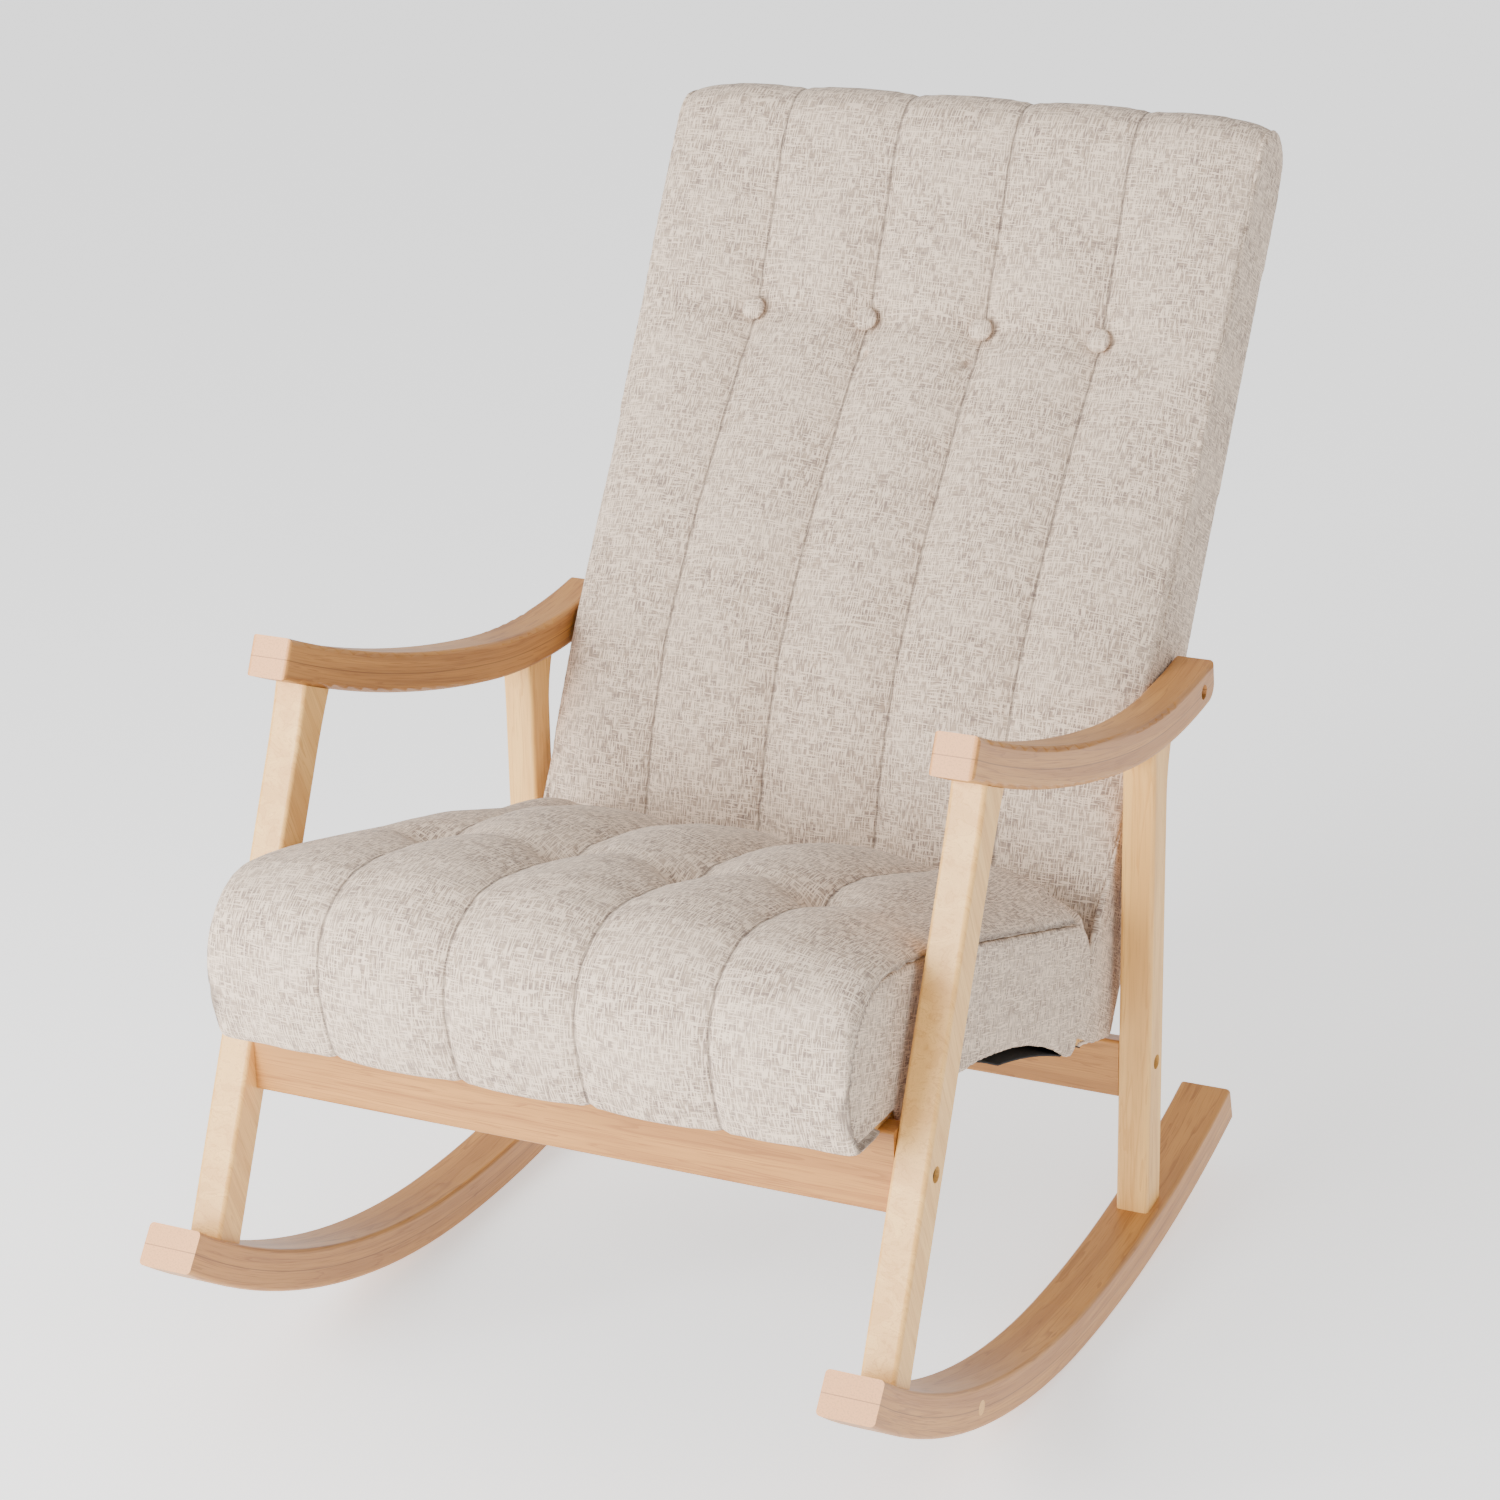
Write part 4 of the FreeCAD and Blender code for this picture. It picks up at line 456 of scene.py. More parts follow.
def bent_grain(front, rear, split):
    """Grain that follows two arcs in the YZ plane, each given by its centre and radius. They meet
    at y = split, and depth counts from the arcs towards their centres' far side."""
    def one(shade, y, z, centre, radius):
        back = shade.math("SUBTRACT", y, centre[0])
        down = shade.math("SUBTRACT", centre[1], z)
        square = shade.math("ADD", shade.times(back, back), shade.times(down, down))
        reach = shade.math("SQRT", square)
        turn = shade.math("ARCTAN2", back, down)
        start = math.asin((split - centre[0]) / radius)
        along = shade.times(shade.math("SUBTRACT", turn, start), radius)
        return shade.math("SUBTRACT", reach, radius), along, turn

    def grain(shade):
        x, y, z = shade.split(shade.place())
        first, second = one(shade, y, z, *front), one(shade, y, z, *rear)
        behind = shade.math("GREATER_THAN", y, split)
        deep, along, turn = [
            shade.math("MULTIPLY_ADD", behind, shade.math("SUBTRACT", late, early), early)
            for early, late in zip(first, second)]
        way = shade.merge(0.0, shade.math("COSINE", turn), shade.math("SINE", turn))
        return x, deep, along, way
    return grain


def plain(name, tone, speck, rough, metallic, scale):
    """Painted, plated or woven plain stuff with a fine mottled surface."""
    shade = Shader(name)
    mottle = shade.noise(shade.place(), scale=scale, detail=3.0)
    shade.put(shade.body.inputs["Base Color"], shade.mix(mottle, tone, speck))
    shade.put(shade.body.inputs["Roughness"], shade.span(mottle, 0.2, 0.8, rough - 0.06,
                                                         rough + 0.06))
    shade.body.inputs["Metallic"].default_value = metallic
    shade.put(shade.body.inputs["Normal"], shade.bump(mottle, 0.0001))
    return shade.material


def cad(node):
    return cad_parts[node]


def dress(node, material):
    """Give a CAD node its finish."""
    piece = cad(node)
    piece.data.materials.clear()
    piece.data.materials.append(material)
    return piece


# ---------------------------------------------------------------- mesh helpers

def add_piece(name, mesh, material, node=None, smooth=True):
    """Put a finished mesh into the scene on the chair's one body."""
    piece = bpy.data.objects.new(name, mesh)
    bpy.context.scene.collection.objects.link(piece)
    mesh.materials.clear()
    mesh.materials.append(material)
    mesh.shade_smooth() if smooth else mesh.shade_flat()
    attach(piece, "root")
    for name in ([node] if isinstance(node, str) else node or []):
        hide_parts(name)
    return piece


def closed_copy(node):
    """The CAD node's mesh with its loose triangles joined."""
    mesh = cad(node).data.copy()
    work = bmesh.new()
    work.from_mesh(mesh)
    bmesh.ops.remove_doubles(work, verts=work.verts, dist=0.00005)
    bmesh.ops.recalc_face_normals(work, faces=work.faces)
    work.to_mesh(mesh)
    work.free()
    for layer in list(mesh.uv_layers):
        mesh.uv_layers.remove(layer)
    mesh.materials.clear()
    return mesh


def applied(piece):
    """The mesh that a piece shows with its modifiers, as a new mesh."""
    graph = bpy.context.evaluated_depsgraph_get()
    return bpy.data.meshes.new_from_object(piece.evaluated_get(graph), depsgraph=graph)


def points(mesh):
    flat = np.empty(len(mesh.vertices) * 3)
    mesh.vertices.foreach_get("co", flat)
    return flat.reshape(-1, 3)


def normals(mesh):
    flat = np.empty(len(mesh.vertices) * 3)
    mesh.vertices.foreach_get("normal", flat)
    return flat.reshape(-1, 3)


def set_points(mesh, places):
    mesh.vertices.foreach_set("co", places.ravel())
    mesh.update()


def along_line(places, line):
    """For points, the distance along a line in the YZ plane, and the distance from it."""
    line = np.array(line)
    starts, ends = line[:-1], line[1:]
    lengths = np.linalg.norm(ends - starts, axis=1)
    sums = np.concatenate([[0], np.cumsum(lengths)])
    best = np.full(len(places), 1e9)
    run = np.zeros(len(places))
    for index, (start, end, size) in enumerate(zip(starts, ends, lengths)):
        way = (end - start) / size
        share = np.clip((places[:, 1:] - start) @ way, 0, size)
        gap = np.linalg.norm(places[:, 1:] - start - share[:, None] * way, axis=1)
        closer = gap < best
        best[closer] = gap[closer]
        run[closer] = sums[index] + share[closer]
    return run, best


def weave_map(mesh, line, half):
    """Lay the cloth's map over a cushion: across the chair, and along the cushion's line."""
    places, ways = points(mesh), normals(mesh)
    run, gap = along_line(places, line)
    u = places[:, 0].copy()
    side = np.abs(ways[:, 0]) > 0.8
    u[side] = np.sign(u[side]) * (half + gap[side])
    corner = np.empty(len(mesh.loops), np.int32)
    mesh.loops.foreach_get("vertex_index", corner)
    layer = mesh.uv_layers.new(name="weave")
    layer.data.foreach_set("uv", np.stack([u[corner], run[corner]], axis=1).ravel())


def flat_map(mesh, first, second, shift=0.0):
    """Lay the cloth's map flat on a panel, along two directions."""
    places = points(mesh)
    corner = np.empty(len(mesh.loops), np.int32)
    mesh.loops.foreach_get("vertex_index", corner)
    u = places @ np.array(first) + shift
    v = places @ np.array(second)
    layer = mesh.uv_layers.new(name="weave")
    layer.data.foreach_set("uv", np.stack([u[corner], v[corner]], axis=1).ravel())


def remeshed(mesh, voxel):
    """An even mesh over the same form."""
    stand_in = bpy.data.objects.new("Remesh", mesh)
    bpy.context.scene.collection.objects.link(stand_in)
    even = stand_in.modifiers.new("Even", "REMESH")
    even.mode = "VOXEL"
    even.voxel_size = voxel
    done = applied(stand_in)
    bpy.data.objects.remove(stand_in)
    return done


def finer(mesh):
    """The mesh with one level of subdivision."""
    stand_in = bpy.data.objects.new("Finer", mesh)
    bpy.context.scene.collection.objects.link(stand_in)
    level = stand_in.modifiers.new("Level", "SUBSURF")
    level.levels = level.render_levels = 1
    done = applied(stand_in)
    bpy.data.objects.remove(stand_in)
    return done


def swollen(mesh, held, calm, padding):
    """Let the cloth swell under its filling, fixed where held is true, and cap how far it moves.

    calm is the share of the move that each point keeps."""
    rest = points(mesh)
    stand_in = bpy.data.objects.new("Swell", mesh)
    bpy.context.scene.collection.objects.link(stand_in)
    group = stand_in.vertex_groups.new(name="held")
    group.add([int(index) for index in np.flatnonzero(held)], 1.0, "REPLACE")
    cloth = stand_in.modifiers.new("Cloth", "CLOTH")
    cloth.settings.quality = 5
    cloth.settings.mass = 0.3
    cloth.settings.tension_stiffness = 12
    cloth.settings.compression_stiffness = 12
    cloth.settings.shear_stiffness = 5
    cloth.settings.bending_stiffness = 2.0
    cloth.settings.use_pressure = True
    cloth.settings.uniform_pressure_force = padding.pressure
    cloth.settings.effector_weights.gravity = 0
    cloth.settings.vertex_group_mass = "held"
    cloth.collision_settings.use_collision = False
    cloth.point_cache.frame_start = 1
    cloth.point_cache.frame_end = CLOTH_STEPS
    for step in range(1, CLOTH_STEPS + 1):
        bpy.context.scene.frame_set(step)
    done = applied(stand_in)
    bpy.data.objects.remove(stand_in)
    bpy.context.scene.frame_set(1)
    move = points(done) - rest
    reach = np.linalg.norm(move, axis=1, keepdims=True)
    move *= np.minimum(1, padding.cap / np.maximum(reach, 1e-9))
    set_points(done, rest + move * calm[:, None])
    return done


def board(name, outline, axis, place, depth, voxel, repeat):
    """Soft-edged panel: an outline laid on a plane, given thickness and an even soft mesh.

    axis(u, v, w) gives the point of the outline's (u, v) at the height w."""
    work = bmesh.new()
    rim = [work.verts.new(axis(u, v, place)) for u, v in outline]
    face = work.faces.new(rim)
    made = bmesh.ops.extrude_face_region(work, geom=[face])
    moved = [item for item in made["geom"] if isinstance(item, bmesh.types.BMVert)]
    way = Vector(axis(0, 0, 1)) - Vector(axis(0, 0, 0))
    bmesh.ops.translate(work, verts=moved, vec=way * depth)
    bmesh.ops.triangulate(work, faces=work.faces)
    bmesh.ops.recalc_face_normals(work, faces=work.faces)
    mesh = bpy.data.meshes.new(name)
    work.to_mesh(mesh)
    work.free()
    mesh = remeshed(mesh, voxel)
    smooth_near(mesh, np.ones(len(mesh.vertices), bool), repeat)
    return mesh


def joined(name, meshes):
    """Several meshes as one."""
    work = bmesh.new()
    for mesh in meshes:
        work.from_mesh(mesh)
    done = bpy.data.meshes.new(name)
    work.to_mesh(done)
    work.free()
    return done


def outside(places, outline):
    """How far each point lies outside an outline in the YZ plane, negative inside it."""
    _, gap = along_line(places, list(outline) + [outline[0]])
    within = np.zeros(len(places), bool)
    for (y0, z0), (y1, z1) in zip(outline, list(outline[1:]) + [outline[0]]):
        if z0 != z1:
            spans = (z0 > places[:, 2]) != (z1 > places[:, 2])
            cross = y0 + (y1 - y0) * (places[:, 2] - z0) / (z1 - z0)
            within ^= spans & (places[:, 1] < cross)
    return np.where(within, -gap, gap)


def bell(distance, width):
    return np.exp(-(distance / width) ** 2)


def ramp(value, start, full):
    """0 at start, 1 at full and straight between them. full may be the smaller."""
    return np.clip((value - start) / (full - start), 0, 1)


def seam_gap(places):
    """How far each point is from the nearest of the channels' seams."""
    return np.min([np.abs(places[:, 0] - seam) for seam in SEAMS], axis=0)


def shrink(places, ways, padding, edge):
    """Draw a cushion's points in, away from its seams and up to its edge, a range across."""
    inner = ramp(np.abs(places[:, 0]), *edge)
    places -= ways * (padding.inset * inner * (seam_gap(places) >= FREE))[:, None]


def crease(places, ways, gap, padding):
    """Press the seams in on a cushion's padded side."""
    outer = (gap < 0.05) & (np.abs(ways[:, 0]) < SIDE)
    places -= ways * (padding.seam * bell(seam_gap(places), CREASE) * outer)[:, None]


def half_width(high):
    """Half the width of the back at a height along it."""
    return BACK_HALF + BACK_GAIN * high / HEAD_HIGH


def from_back(x, deep, high):
    """A place in the chair from one in the back's own leaning frame."""
    return (x, BACK_FOOT[0] + deep * math.cos(BACK_LEAN) + high * math.sin(BACK_LEAN),
            BACK_FOOT[1] - deep * math.sin(BACK_LEAN) + high * math.cos(BACK_LEAN))


def band(low_half, low, high_half, high):
    """Outline of a band across the back, from its half widths and heights."""
    return [(-low_half, low), (low_half, low), (high_half, high), (-high_half, high)]


def smooth_near(mesh, chosen, repeat):
    work = bmesh.new()
    work.from_mesh(mesh)
    work.verts.ensure_lookup_table()
    picked = [work.verts[int(index)] for index in np.flatnonzero(chosen)]
    for _ in range(repeat):
        bmesh.ops.smooth_vert(work, verts=picked, factor=0.5, use_axis_x=True, use_axis_y=True,
                              use_axis_z=True)
    work.to_mesh(mesh)
    work.free()
    mesh.update()


def panel_mesh(node, size):
    """A thin CAD piece's mesh with no edge much longer than size."""
    mesh = closed_copy(node)
    work = bmesh.new()
    work.from_mesh(mesh)
    for _ in range(6):
        long = [edge for edge in work.edges if edge.calc_length() > size]
        if not long:
            break
        bmesh.ops.subdivide_edges(work, edges=long, cuts=1, use_grid_fill=False)
        bmesh.ops.triangulate(work, faces=[face for face in work.faces if len(face.verts) > 4])
    bmesh.ops.triangulate(work, faces=work.faces)
    work.to_mesh(mesh)
    work.free()
    return mesh


# ---------------------------------------------------------------- pieces

class RockerOperator:
    bl_options = {"REGISTER", "UNDO"}


class ROCKER_OT_frame(RockerOperator, bpy.types.Operator):
    """Finish rockers, legs, armrests and rails in satin wood"""
    bl_idname = "rocker.frame"
    bl_label = "Wooden frame"

    def execute(self, context):
        tones = context.scene.rocker_wood
        legs, arms = (tones.leg, tones.leg_line), (tones.arm, tones.arm_line)
        for number, side in enumerate(("left", "right")):
            for kind, pair, grain, shift, glue, slot in (
                    ("front_leg", legs, straight_grain(FRONT_LEG_LEAN), 0.0, None, "light_wood"),
                    ("rear_leg", legs, straight_grain(0.0), 3.1, None, "light_wood"),
                    ("rocker", arms, bent_grain(*ROCKER_ARCS), 5.2, -GLUE, "tan_wood"),
                    ("armrest", arms, bent_grain(*ARMREST_ARCS), 7.9, GLUE, "tan_wood")):
                name = kind.replace("_", " ").capitalize() + " wood " + side
                seed = 1.7 * (number + 1) + shift
                dress(kind + "_" + side, wood(name, tones, pair, grain, seed, glue))
        for node, name, pair, grain, seed, slot in (
                ("front_rail", "Wood of front_rail", arms, cross_grain, 2.3, "tan_wood"),
                ("rear_rail", "Wood of rear_rail", arms, cross_grain, 3.3, "tan_wood"),
                ("rocker_plugs", "Plug wood", legs, cross_grain, 4.4, "light_wood"),
                ("leg_dowels", "Dowel wood", legs, straight_grain(0.0), 6.1, "inner_wood")):
            dress(node, wood(name, tones, pair, grain, seed))
        return {"FINISHED"}


class ROCKER_OT_inner_frame(RockerOperator, bpy.types.Operator):
    """Finish the boards and rails inside the seat and the back"""
    bl_idname = "rocker.inner_frame"
    bl_label = "Inner frame"

    def execute(self, context):
        tones = context.scene.rocker_wood
        inner = wood("Inner board", tones, (tones.leg, tones.arm_line), cross_grain, 8.8)
        for node in ("seat_side_board_left", "seat_side_board_right", "seat_front_rail",
                     "seat_rear_rail", "back_stile_left", "back_stile_right", "back_foot_rail",
                     "back_top_rail", "back_middle_rail", "back_lower_rail"):
            dress(node, inner)
        return {"FINISHED"}


class ROCKER_OT_metal(RockerOperator, bpy.types.Operator):
    """Finish bolts, nuts, springs and brackets"""
    bl_idname = "rocker.metal"
    bl_label = "Bolts and springs"

    def execute(self, context):
        black = plain("Black bolt", *BLACK_STEEL)
        zinc = plain("Zinc plate", *ZINC)
        for node in ("frame_bolts", "seat_bolts", "seat_brackets"):
            dress(node, black)
        for node in ("cross_dowels", "tee_nuts", "seat_tee_nuts", "seat_springs"):
            dress(node, zinc)
        return {"FINISHED"}


class ROCKER_OT_seat_pad(RockerOperator, bpy.types.Operator):
    """Make the seat cushion with its channels, nose and four tufts"""
    bl_idname = "rocker.seat_pad"
    bl_label = "Seat cushion"

    def execute(self, context):
        padding = context.scene.rocker_padding
        mesh = remeshed(closed_copy("seat_cushion"), padding.voxel)
        places, ways = points(mesh), normals(mesh)
        _, gap = along_line(places, SEAT_LINE)
        shrink(places, ways, padding, SEAT_EDGE)
        corner = ramp(np.abs(places[:, 0]), *CORNER_ACROSS)
        corner = corner * corner * (3 - 2 * corner) * bell(places[:, 1] - CORNER_Y, CORNER_SPREAD)
        above = ramp(outside(places, SEAT_PANEL), *CORNER_PAST)
        places[:, 2] += CORNER_RISE * corner * above * (places[:, 2] > CORNER_LEAST)
        near = np.min([np.linalg.norm(places - (x, *TUFT_ROW), axis=1) for x in SEAMS], axis=0)
        sink = padding.tuft * sum(share * bell(near, spread) for share, spread in TUFT_DISHES)
        row = bell(places[:, 1] - TUFT_ROW[0], TUFT_SPREAD) * (ways[:, 2] > 0.3)
        row *= ramp(np.abs(places[:, 0]), *SEAT_FOLD_END)
        places[:, 2] -= sink + TUFT_FOLD * row
        set_points(mesh, places)
        held = (seam_gap(places) < HELD) | (near < TUFT_HELD) | (np.abs(ways[:, 0]) > SIDE)
        held |= (gap >= SHELL) | ((ways[:, 2] < -0.5) & (places[:, 1] > NOSE_UNDER))
        low = ramp(places[:, 2], *NOSE_LOW) * (places[:, 1] < NOSE_FRONT)
        mesh = swollen(mesh, held, 1 - NOSE_CALM * low, padding)
        mesh = finer(mesh)
        places, ways = points(mesh), normals(mesh)
        _, gap = along_line(places, SEAT_LINE)
        crease(places, ways, gap, padding)
        edge = np.abs(places[:, 0])
        wide = ramp(edge, *ROLL_ACROSS)
        past = outside(places, SEAT_PANEL)
        clear = ramp(past, *ROLL_PAST) * ramp(places[:, 1], *ROLL_REAR)
        roll = ROLL_START + ROLL_WIDTH * np.sqrt(1 - ramp(past, 0, ROLL_SPREAD) ** 2)
        edge += clear * wide * np.maximum(roll - edge, 0)
        edge -= (1 - clear) * np.maximum(edge - SEAT_INNER, 0)
        places[:, 0] = np.sign(places[:, 0]) * edge
        set_points(mesh, places)
        weave_map(mesh, SEAT_LINE, SEAT_CLOTH)
        # Distance to the seam round the side panels, along which the linen draws a line of painted
        # shade
        hem = np.where(wide > 0.2, HEM_SHARE * (past - HEM_OUT), 1.0)
        mesh.attributes.new("hem", "FLOAT", "POINT").data.foreach_set("value", hem)
        cloth = linen("Linen of seat", context.scene.rocker_linen, SEAMS, True)
        add_piece("Seat_pad", mesh, cloth, "seat_cushion")
        return {"FINISHED"}


class ROCKER_OT_back_pad(RockerOperator, bpy.types.Operator):
    """Make the back cushion with its channels and button seats"""
    bl_idname = "rocker.back_pad"
    bl_label = "Back cushion"

    def execute(self, context):
        padding = context.scene.rocker_padding
        mesh = remeshed(closed_copy("back_cushion"), padding.voxel)
        low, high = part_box("back_buttons")
        level = np.array((0, *((low + high) / 2).yz))
        near = self.button_gap(points(mesh), level)
        smooth_near(mesh, near < DISH_SMOOTH, 14)
        places, ways = points(mesh), normals(mesh)
        _, gap = along_line(places, BACK_LINE)
        seam = seam_gap(places)
        shrink(places, ways, padding, BACK_EDGE)
        row = bell((places - level) @ BACK_UP, BUTTON_SPREAD)
        row *= ramp(np.abs(places[:, 0]), *BACK_FOLD_END)
        row *= (gap < SHELL) & (ways @ BACK_DEEP < -0.3)
        sink = BUTTON_FOLD * row + DISH_DEPTH * bell(near, DISH_SPREAD)
        places += BACK_DEEP * sink[:, None]
        set_points(mesh, places)
        held = (seam < HELD) | (near < BUTTON_HELD) | (np.abs(ways[:, 0]) > SIDE)
        held |= (gap >= SHELL) | (ways @ BACK_DEEP > 0.3)
        head = ramp(places[:, 2], *HEAD_LOW)
        mesh = swollen(mesh, held, 1 - HEAD_CALM * head, padding)
        mesh = finer(mesh)
        places, ways = points(mesh), normals(mesh)
        _, gap = along_line(places, BACK_LINE)
        outer = (gap < 0.05) & (np.abs(ways[:, 0]) < SIDE)
        valley = ramp(seam_gap(places), HEAD_REACH, 0) ** 2
        fill = HEAD_FILL * valley * ramp(places[:, 2], *HEAD_FULL) * outer
        crease(places, ways, gap, padding)
        places += ways * fill[:, None]
        offset = places - (0, *BACK_FOOT)
        deep, high = offset @ BACK_DEEP, offset @ BACK_UP
        inside = HEAD_RADIUS + np.where(high < HEAD_HIGH, deep - HEAD_DEEP,
                                        -np.hypot(deep - HEAD_DEEP, high - HEAD_HIGH))
        tuck = ramp(inside, *TUCK_DEPTH) * (np.abs(places[:, 0]) > BACK_EDGE[0])
        over = np.maximum(np.abs(places[:, 0]) - half_width(high) + TUCK_GAP, 0)
        places[:, 0] -= np.sign(places[:, 0]) * over * tuck
        set_points(mesh, places)
        weave_map(mesh, BACK_LINE, BACK_CLOTH)
        cloth = linen("Linen of back", context.scene.rocker_linen, SEAMS)
        add_piece("Back_pad", mesh, cloth, "back_cushion")
        return {"FINISHED"}

    @staticmethod
    def button_gap(places, level):
        """How far points near the face are from the nearest button's axis, at most 1 m."""
        near = np.full(len(places), 1.0)
        for x in SEAMS:
            offset = places - level - (x, 0, 0)
            depth = offset @ BACK_DEEP
            side = np.linalg.norm(offset - depth[:, None] * BACK_DEEP, axis=1)
            near = np.minimum(near, np.where(np.abs(depth) < 0.05, side, 1.0))
        return near


class ROCKER_OT_seat_sides(RockerOperator, bpy.types.Operator):
    """Make the cloth panels on both sides of the seat"""
    bl_idname = "rocker.seat_sides"
    bl_label = "Seat sides"

    def execute(self, context):
        cloth = linen("Linen of seat sides", context.scene.rocker_linen)
        for sign, word in ((1, "left"), (-1, "right")):
            def beside(u, v, w, sign=sign):
                return (sign * w, u, v)
            mesh = board("Seat side", SEAT_PANEL, beside, *SEAT_SIDE_BOARD)
            flat_map(mesh, (0, math.cos(SEAT_SLOPE), -math.sin(SEAT_SLOPE)),
                     (0, math.sin(SEAT_SLOPE), math.cos(SEAT_SLOPE)), 2.0)
            add_piece("Seat_side_" + word, mesh, cloth, "seat_side_cover_" + word)
        return {"FINISHED"}


class ROCKER_OT_dust_cover(RockerOperator, bpy.types.Operator):
    """Make the black cloth under the seat"""
    bl_idname = "rocker.dust_cover"
    bl_label = "Dust cover"

    def execute(self, context):
        mesh = panel_mesh("seat_dust_cover", 0.02)
        places = points(mesh)
        side = ramp(np.abs(places[:, 0]), *COVER_ACROSS)
        slack = ramp(places[:, 1], *COVER_FRONT) * ramp(places[:, 1], *COVER_REAR)
        places[:, 0] *= 1 + COVER_GAIN * side
        places[:, 2] -= COVER_SAG * side * slack
        set_points(mesh, places)
        add_piece("Dust_cover", mesh, plain("Black lining", *LINING),
                  "seat_dust_cover", smooth=False)
        return {"FINISHED"}


class ROCKER_OT_back_cover(RockerOperator, bpy.types.Operator):
    """Make the cloth over the back's rear and sides"""
    bl_idname = "rocker.back_cover"
    bl_label = "Back cover"

    def execute(self, context):
        side = ([(-0.004, 0.012), (-0.004, 0.115), (0.0035, 0.150), (0.0035, HEAD_HIGH)]
                + arc((HEAD_DEEP, HEAD_HIGH), HEAD_RADIUS, 180, 0, 14)
                + [(REAR_TOP, 0.800), (REAR_FOOT, REAR_FOOT * FOOT_SLOPE),
                   (0.050, 0.050 * FOOT_SLOPE)])
        rear = band(0.277, 0.030, 0.2885, 0.815)
        tongue = band(0.2885, 0.805, 0.2860, 0.853)
        base = band(0.277, 0.016, 0.277, 0.092)

        def right(u, v, w):
            return from_back(-half_width(v) - w, u, v)

        def left(u, v, w):
            return from_back(half_width(v) + w, u, v)

        def behind(u, v, w):
            return from_back(u, REAR_FOOT - (REAR_FOOT - REAR_TOP) * v / HEAD_HIGH + w, v)

        def tucked(u, v, w):
            return from_back(u, REAR_TOP - 0.30 * (v - 0.805) + w, v)

        def below(u, v, w):
            return from_back(u, v, v * FOOT_SLOPE + w)

        meshes = []
        for outline, axis, sizes, first, second, shift in (
                (side, right, BACK_SIDE_BOARD, BACK_DEEP, BACK_UP, 2.0),
                (side, left, BACK_SIDE_BOARD, BACK_DEEP, BACK_UP, 4.0),
                (rear, behind, BACK_REAR_BOARD, ACROSS, BACK_UP, 6.0),
                (tongue, tucked, BACK_TOP_BOARD, ACROSS, BACK_UP, 6.0),
                (base, below, BACK_FOOT_BOARD, ACROSS, REARWARD, 8.0)):
            mesh = board("Back panel", outline, axis, *sizes)
            flat_map(mesh, first, second, shift)
            meshes.append(mesh)
        cloth = linen("Linen of back cover", context.scene.rocker_linen)
        add_piece("Back_cover", joined("Back cover", meshes), cloth,
                  "back_outer_cover")
        return {"FINISHED"}


class ROCKER_OT_buttons(RockerOperator, bpy.types.Operator):
    """Make the four covered buttons of the back"""
    bl_idname = "rocker.buttons"
    bl_label = "Buttons"

    def execute(self, context):
        low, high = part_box("back_buttons")
        centre = (low + high) / 2 + Vector(BUTTON_OUT)
        turn = Matrix.Rotation(math.pi / 2 - BACK_LEAN, 3, "X")
        work = bmesh.new()
        for x in SEAMS:
            made = bmesh.ops.create_uvsphere(work, u_segments=32, v_segments=16,
                                             radius=BUTTON_RADIUS)
            bmesh.ops.scale(work, verts=made["verts"], vec=(1, 1, BUTTON_FLAT))
            bmesh.ops.rotate(work, verts=made["verts"], cent=(0, 0, 0), matrix=turn)
            bmesh.ops.translate(work, verts=made["verts"], vec=(x, centre.y, centre.z))
        mesh = bpy.data.meshes.new("Buttons")
        work.to_mesh(mesh)
        work.free()
        flat_map(mesh, ACROSS, BACK_UP, 0.33)
        add_piece("Buttons", mesh, linen("Linen of buttons", context.scene.rocker_linen),
                  "back_buttons")
        return {"FINISHED"}


class ROCKER_OT_straps(RockerOperator, bpy.types.Operator):
    """Make the elastic straps inside the back"""
    bl_idname = "rocker.straps"
    bl_label = "Straps"

    def execute(self, context):
        add_piece("Straps", panel_mesh("back_straps", 0.05), plain("Strap webbing", *WEBBING),
                  "back_straps", smooth=False)
        return {"FINISHED"}


# ---------------------------------------------------------------- stage

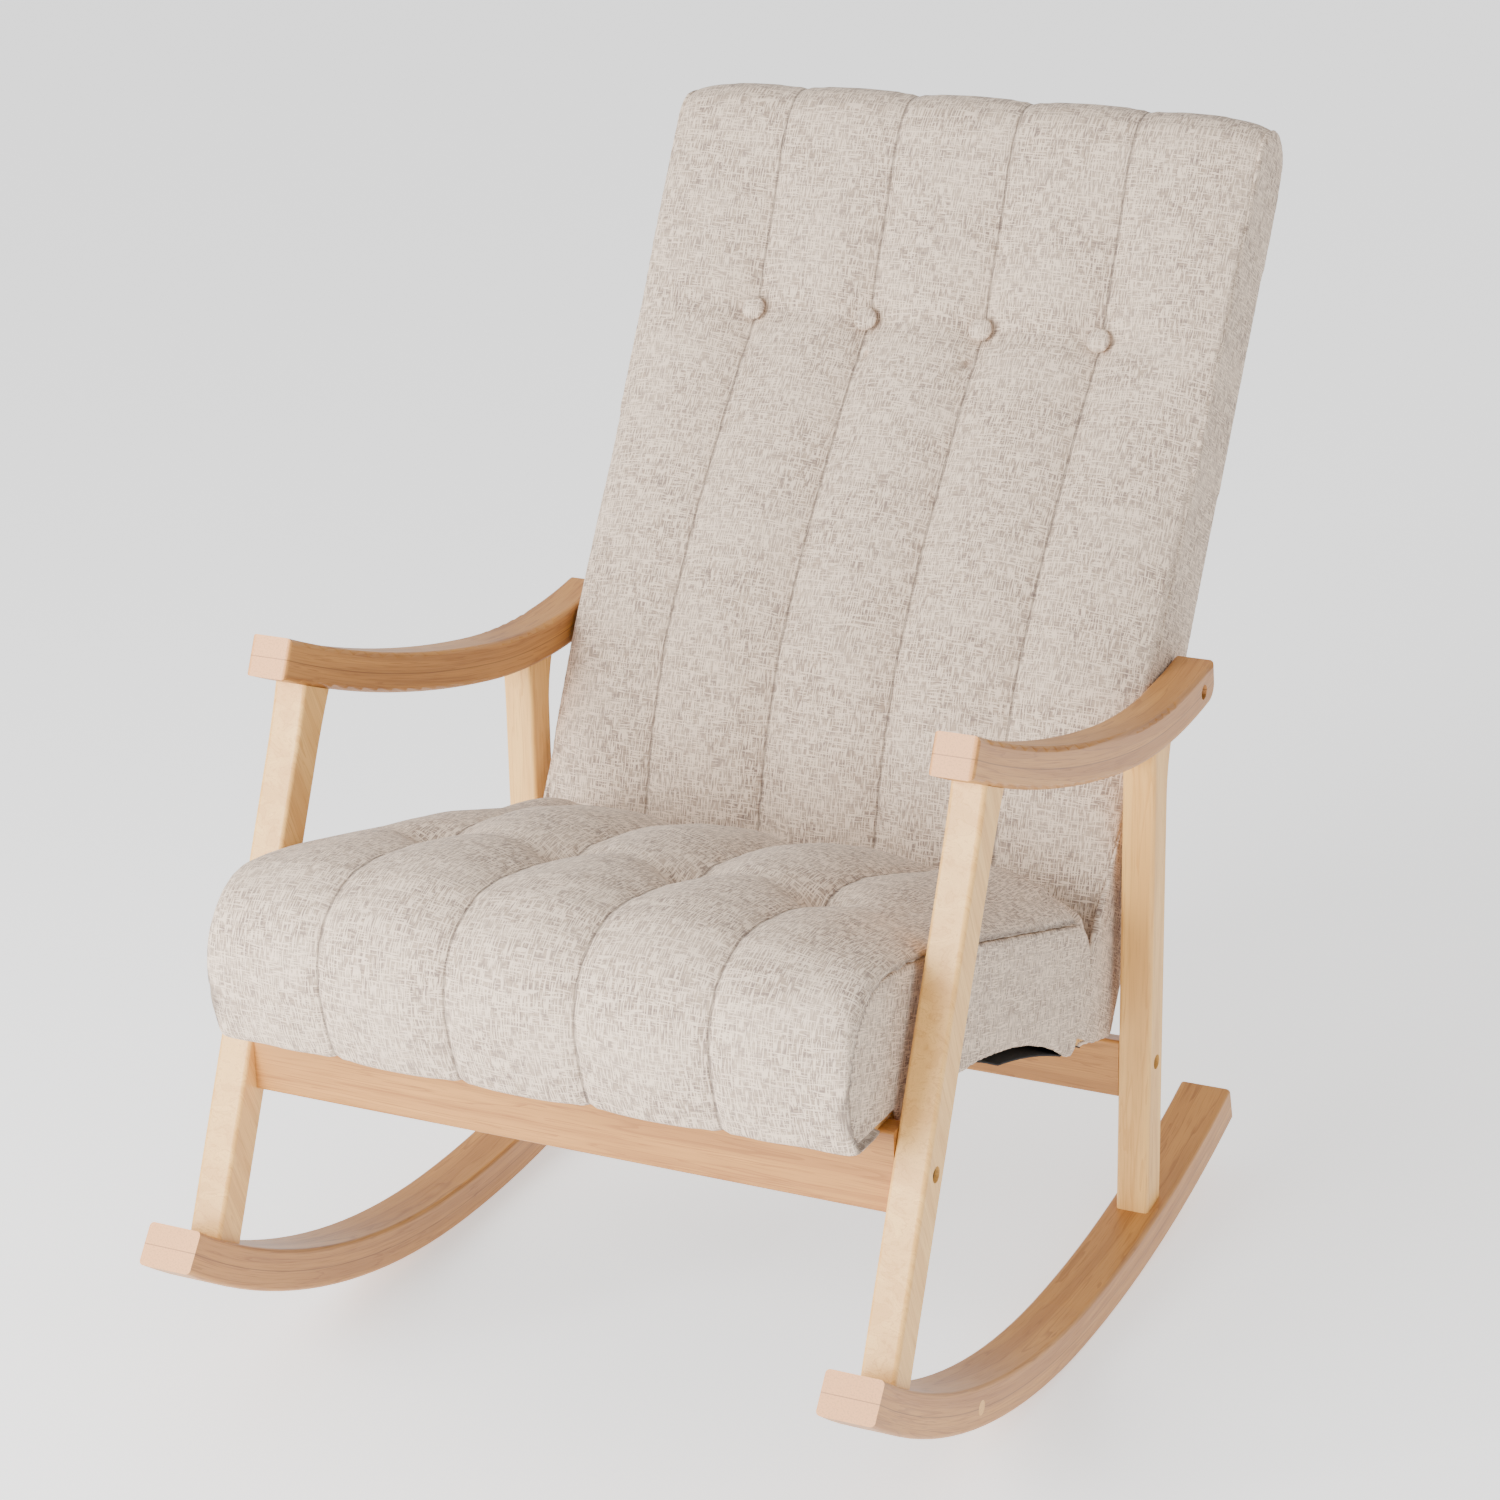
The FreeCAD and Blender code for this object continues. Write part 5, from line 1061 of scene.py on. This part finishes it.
class ROCKER_OT_stage(RockerOperator, bpy.types.Operator):
    """Lay the pale floor, hang the lights and set the camera"""
    bl_idname = "rocker.stage"
    bl_label = "Stage"

    def execute(self, context):
        studio = context.scene.rocker_studio
        work = bmesh.new()
        bmesh.ops.create_grid(work, x_segments=8, y_segments=8, size=FLOOR_SIZE)
        mesh = bpy.data.meshes.new("Floor")
        work.to_mesh(mesh)
        work.free()
        floor = bpy.data.objects.new("Floor", mesh)
        floor.location = (0, 0, -FLOOR_DROP)
        context.scene.collection.objects.link(floor)
        paint = Shader("Pale floor")
        tint = paint.noise(paint.place(), scale=1.5)
        paint.put(paint.body.inputs["Base Color"],
                  paint.mix(tint, (0.90, 0.90, 0.90), (0.92, 0.92, 0.92)))
        paint.body.inputs["Roughness"].default_value = 0.9
        paint.body.inputs["Emission Color"].default_value = (1.0, 1.0, 1.0, 1.0)
        paint.body.inputs["Emission Strength"].default_value = studio.glow
        mesh.materials.append(paint.material)
        world = bpy.data.worlds.new("Soft room")
        world.use_nodes = True
        back = world.node_tree.nodes["Background"]
        back.inputs["Color"].default_value = (1.0, 1.0, 1.0, 1.0)
        back.inputs["Strength"].default_value = studio.sky
        context.scene.world = world
        for name, place, aim, size, setting in LIGHTS:
            data = bpy.data.lights.new(name, "AREA")
            data.size = size
            data.energy = getattr(studio, setting)
            lamp = bpy.data.objects.new(name, data)
            lamp.location = place
            way = Vector(aim) - Vector(place)
            lamp.rotation_euler = way.to_track_quat("-Z", "Y").to_euler()
            context.scene.collection.objects.link(lamp)
        data = bpy.data.cameras.new("Camera")
        data.sensor_width = 36
        data.lens = studio.lens
        data.clip_end = 50
        camera = bpy.data.objects.new("Camera", data)
        turn = Matrix(CAMERA_AXES).transposed().to_4x4()
        camera.matrix_world = Matrix.Translation(CAMERA_PLACE) @ turn
        context.scene.collection.objects.link(camera)
        context.scene.camera = camera
        return {"FINISHED"}


OPERATORS = (ROCKER_OT_stage, ROCKER_OT_frame, ROCKER_OT_inner_frame, ROCKER_OT_metal,
             ROCKER_OT_seat_pad, ROCKER_OT_seat_sides, ROCKER_OT_dust_cover, ROCKER_OT_back_pad,
             ROCKER_OT_back_cover, ROCKER_OT_buttons, ROCKER_OT_straps)


class ROCKER_PT_panel(bpy.types.Panel):
    bl_label = "Rocking chair"
    bl_idname = "ROCKER_PT_panel"
    bl_space_type = "VIEW_3D"
    bl_region_type = "UI"
    bl_category = "Rocker"

    def draw(self, context):
        for operator in OPERATORS:
            self.layout.operator(operator.bl_idname)
        for group in GROUPS:
            box = self.layout.box()
            for name in group.__annotations__:
                box.prop(getattr(context.scene, GROUPS[group]), name)


GROUPS = {RockerLinen: "rocker_linen", RockerWood: "rocker_wood",
          RockerPadding: "rocker_padding", RockerStudio: "rocker_studio"}


def register():
    for group, name in GROUPS.items():
        bpy.utils.register_class(group)
        setattr(bpy.types.Scene, name, bpy.props.PointerProperty(type=group))
    for operator in OPERATORS:
        bpy.utils.register_class(operator)
    bpy.utils.register_class(ROCKER_PT_panel)


def unregister():
    bpy.utils.unregister_class(ROCKER_PT_panel)
    for operator in reversed(OPERATORS):
        bpy.utils.unregister_class(operator)
    for group, name in GROUPS.items():
        delattr(bpy.types.Scene, name)
        bpy.utils.unregister_class(group)


def main():
    register()
    for operator in OPERATORS:
        group, name = operator.bl_idname.split(".")
        getattr(getattr(bpy.ops, group), name)()
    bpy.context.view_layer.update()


if __name__ == "__main__":
    main()
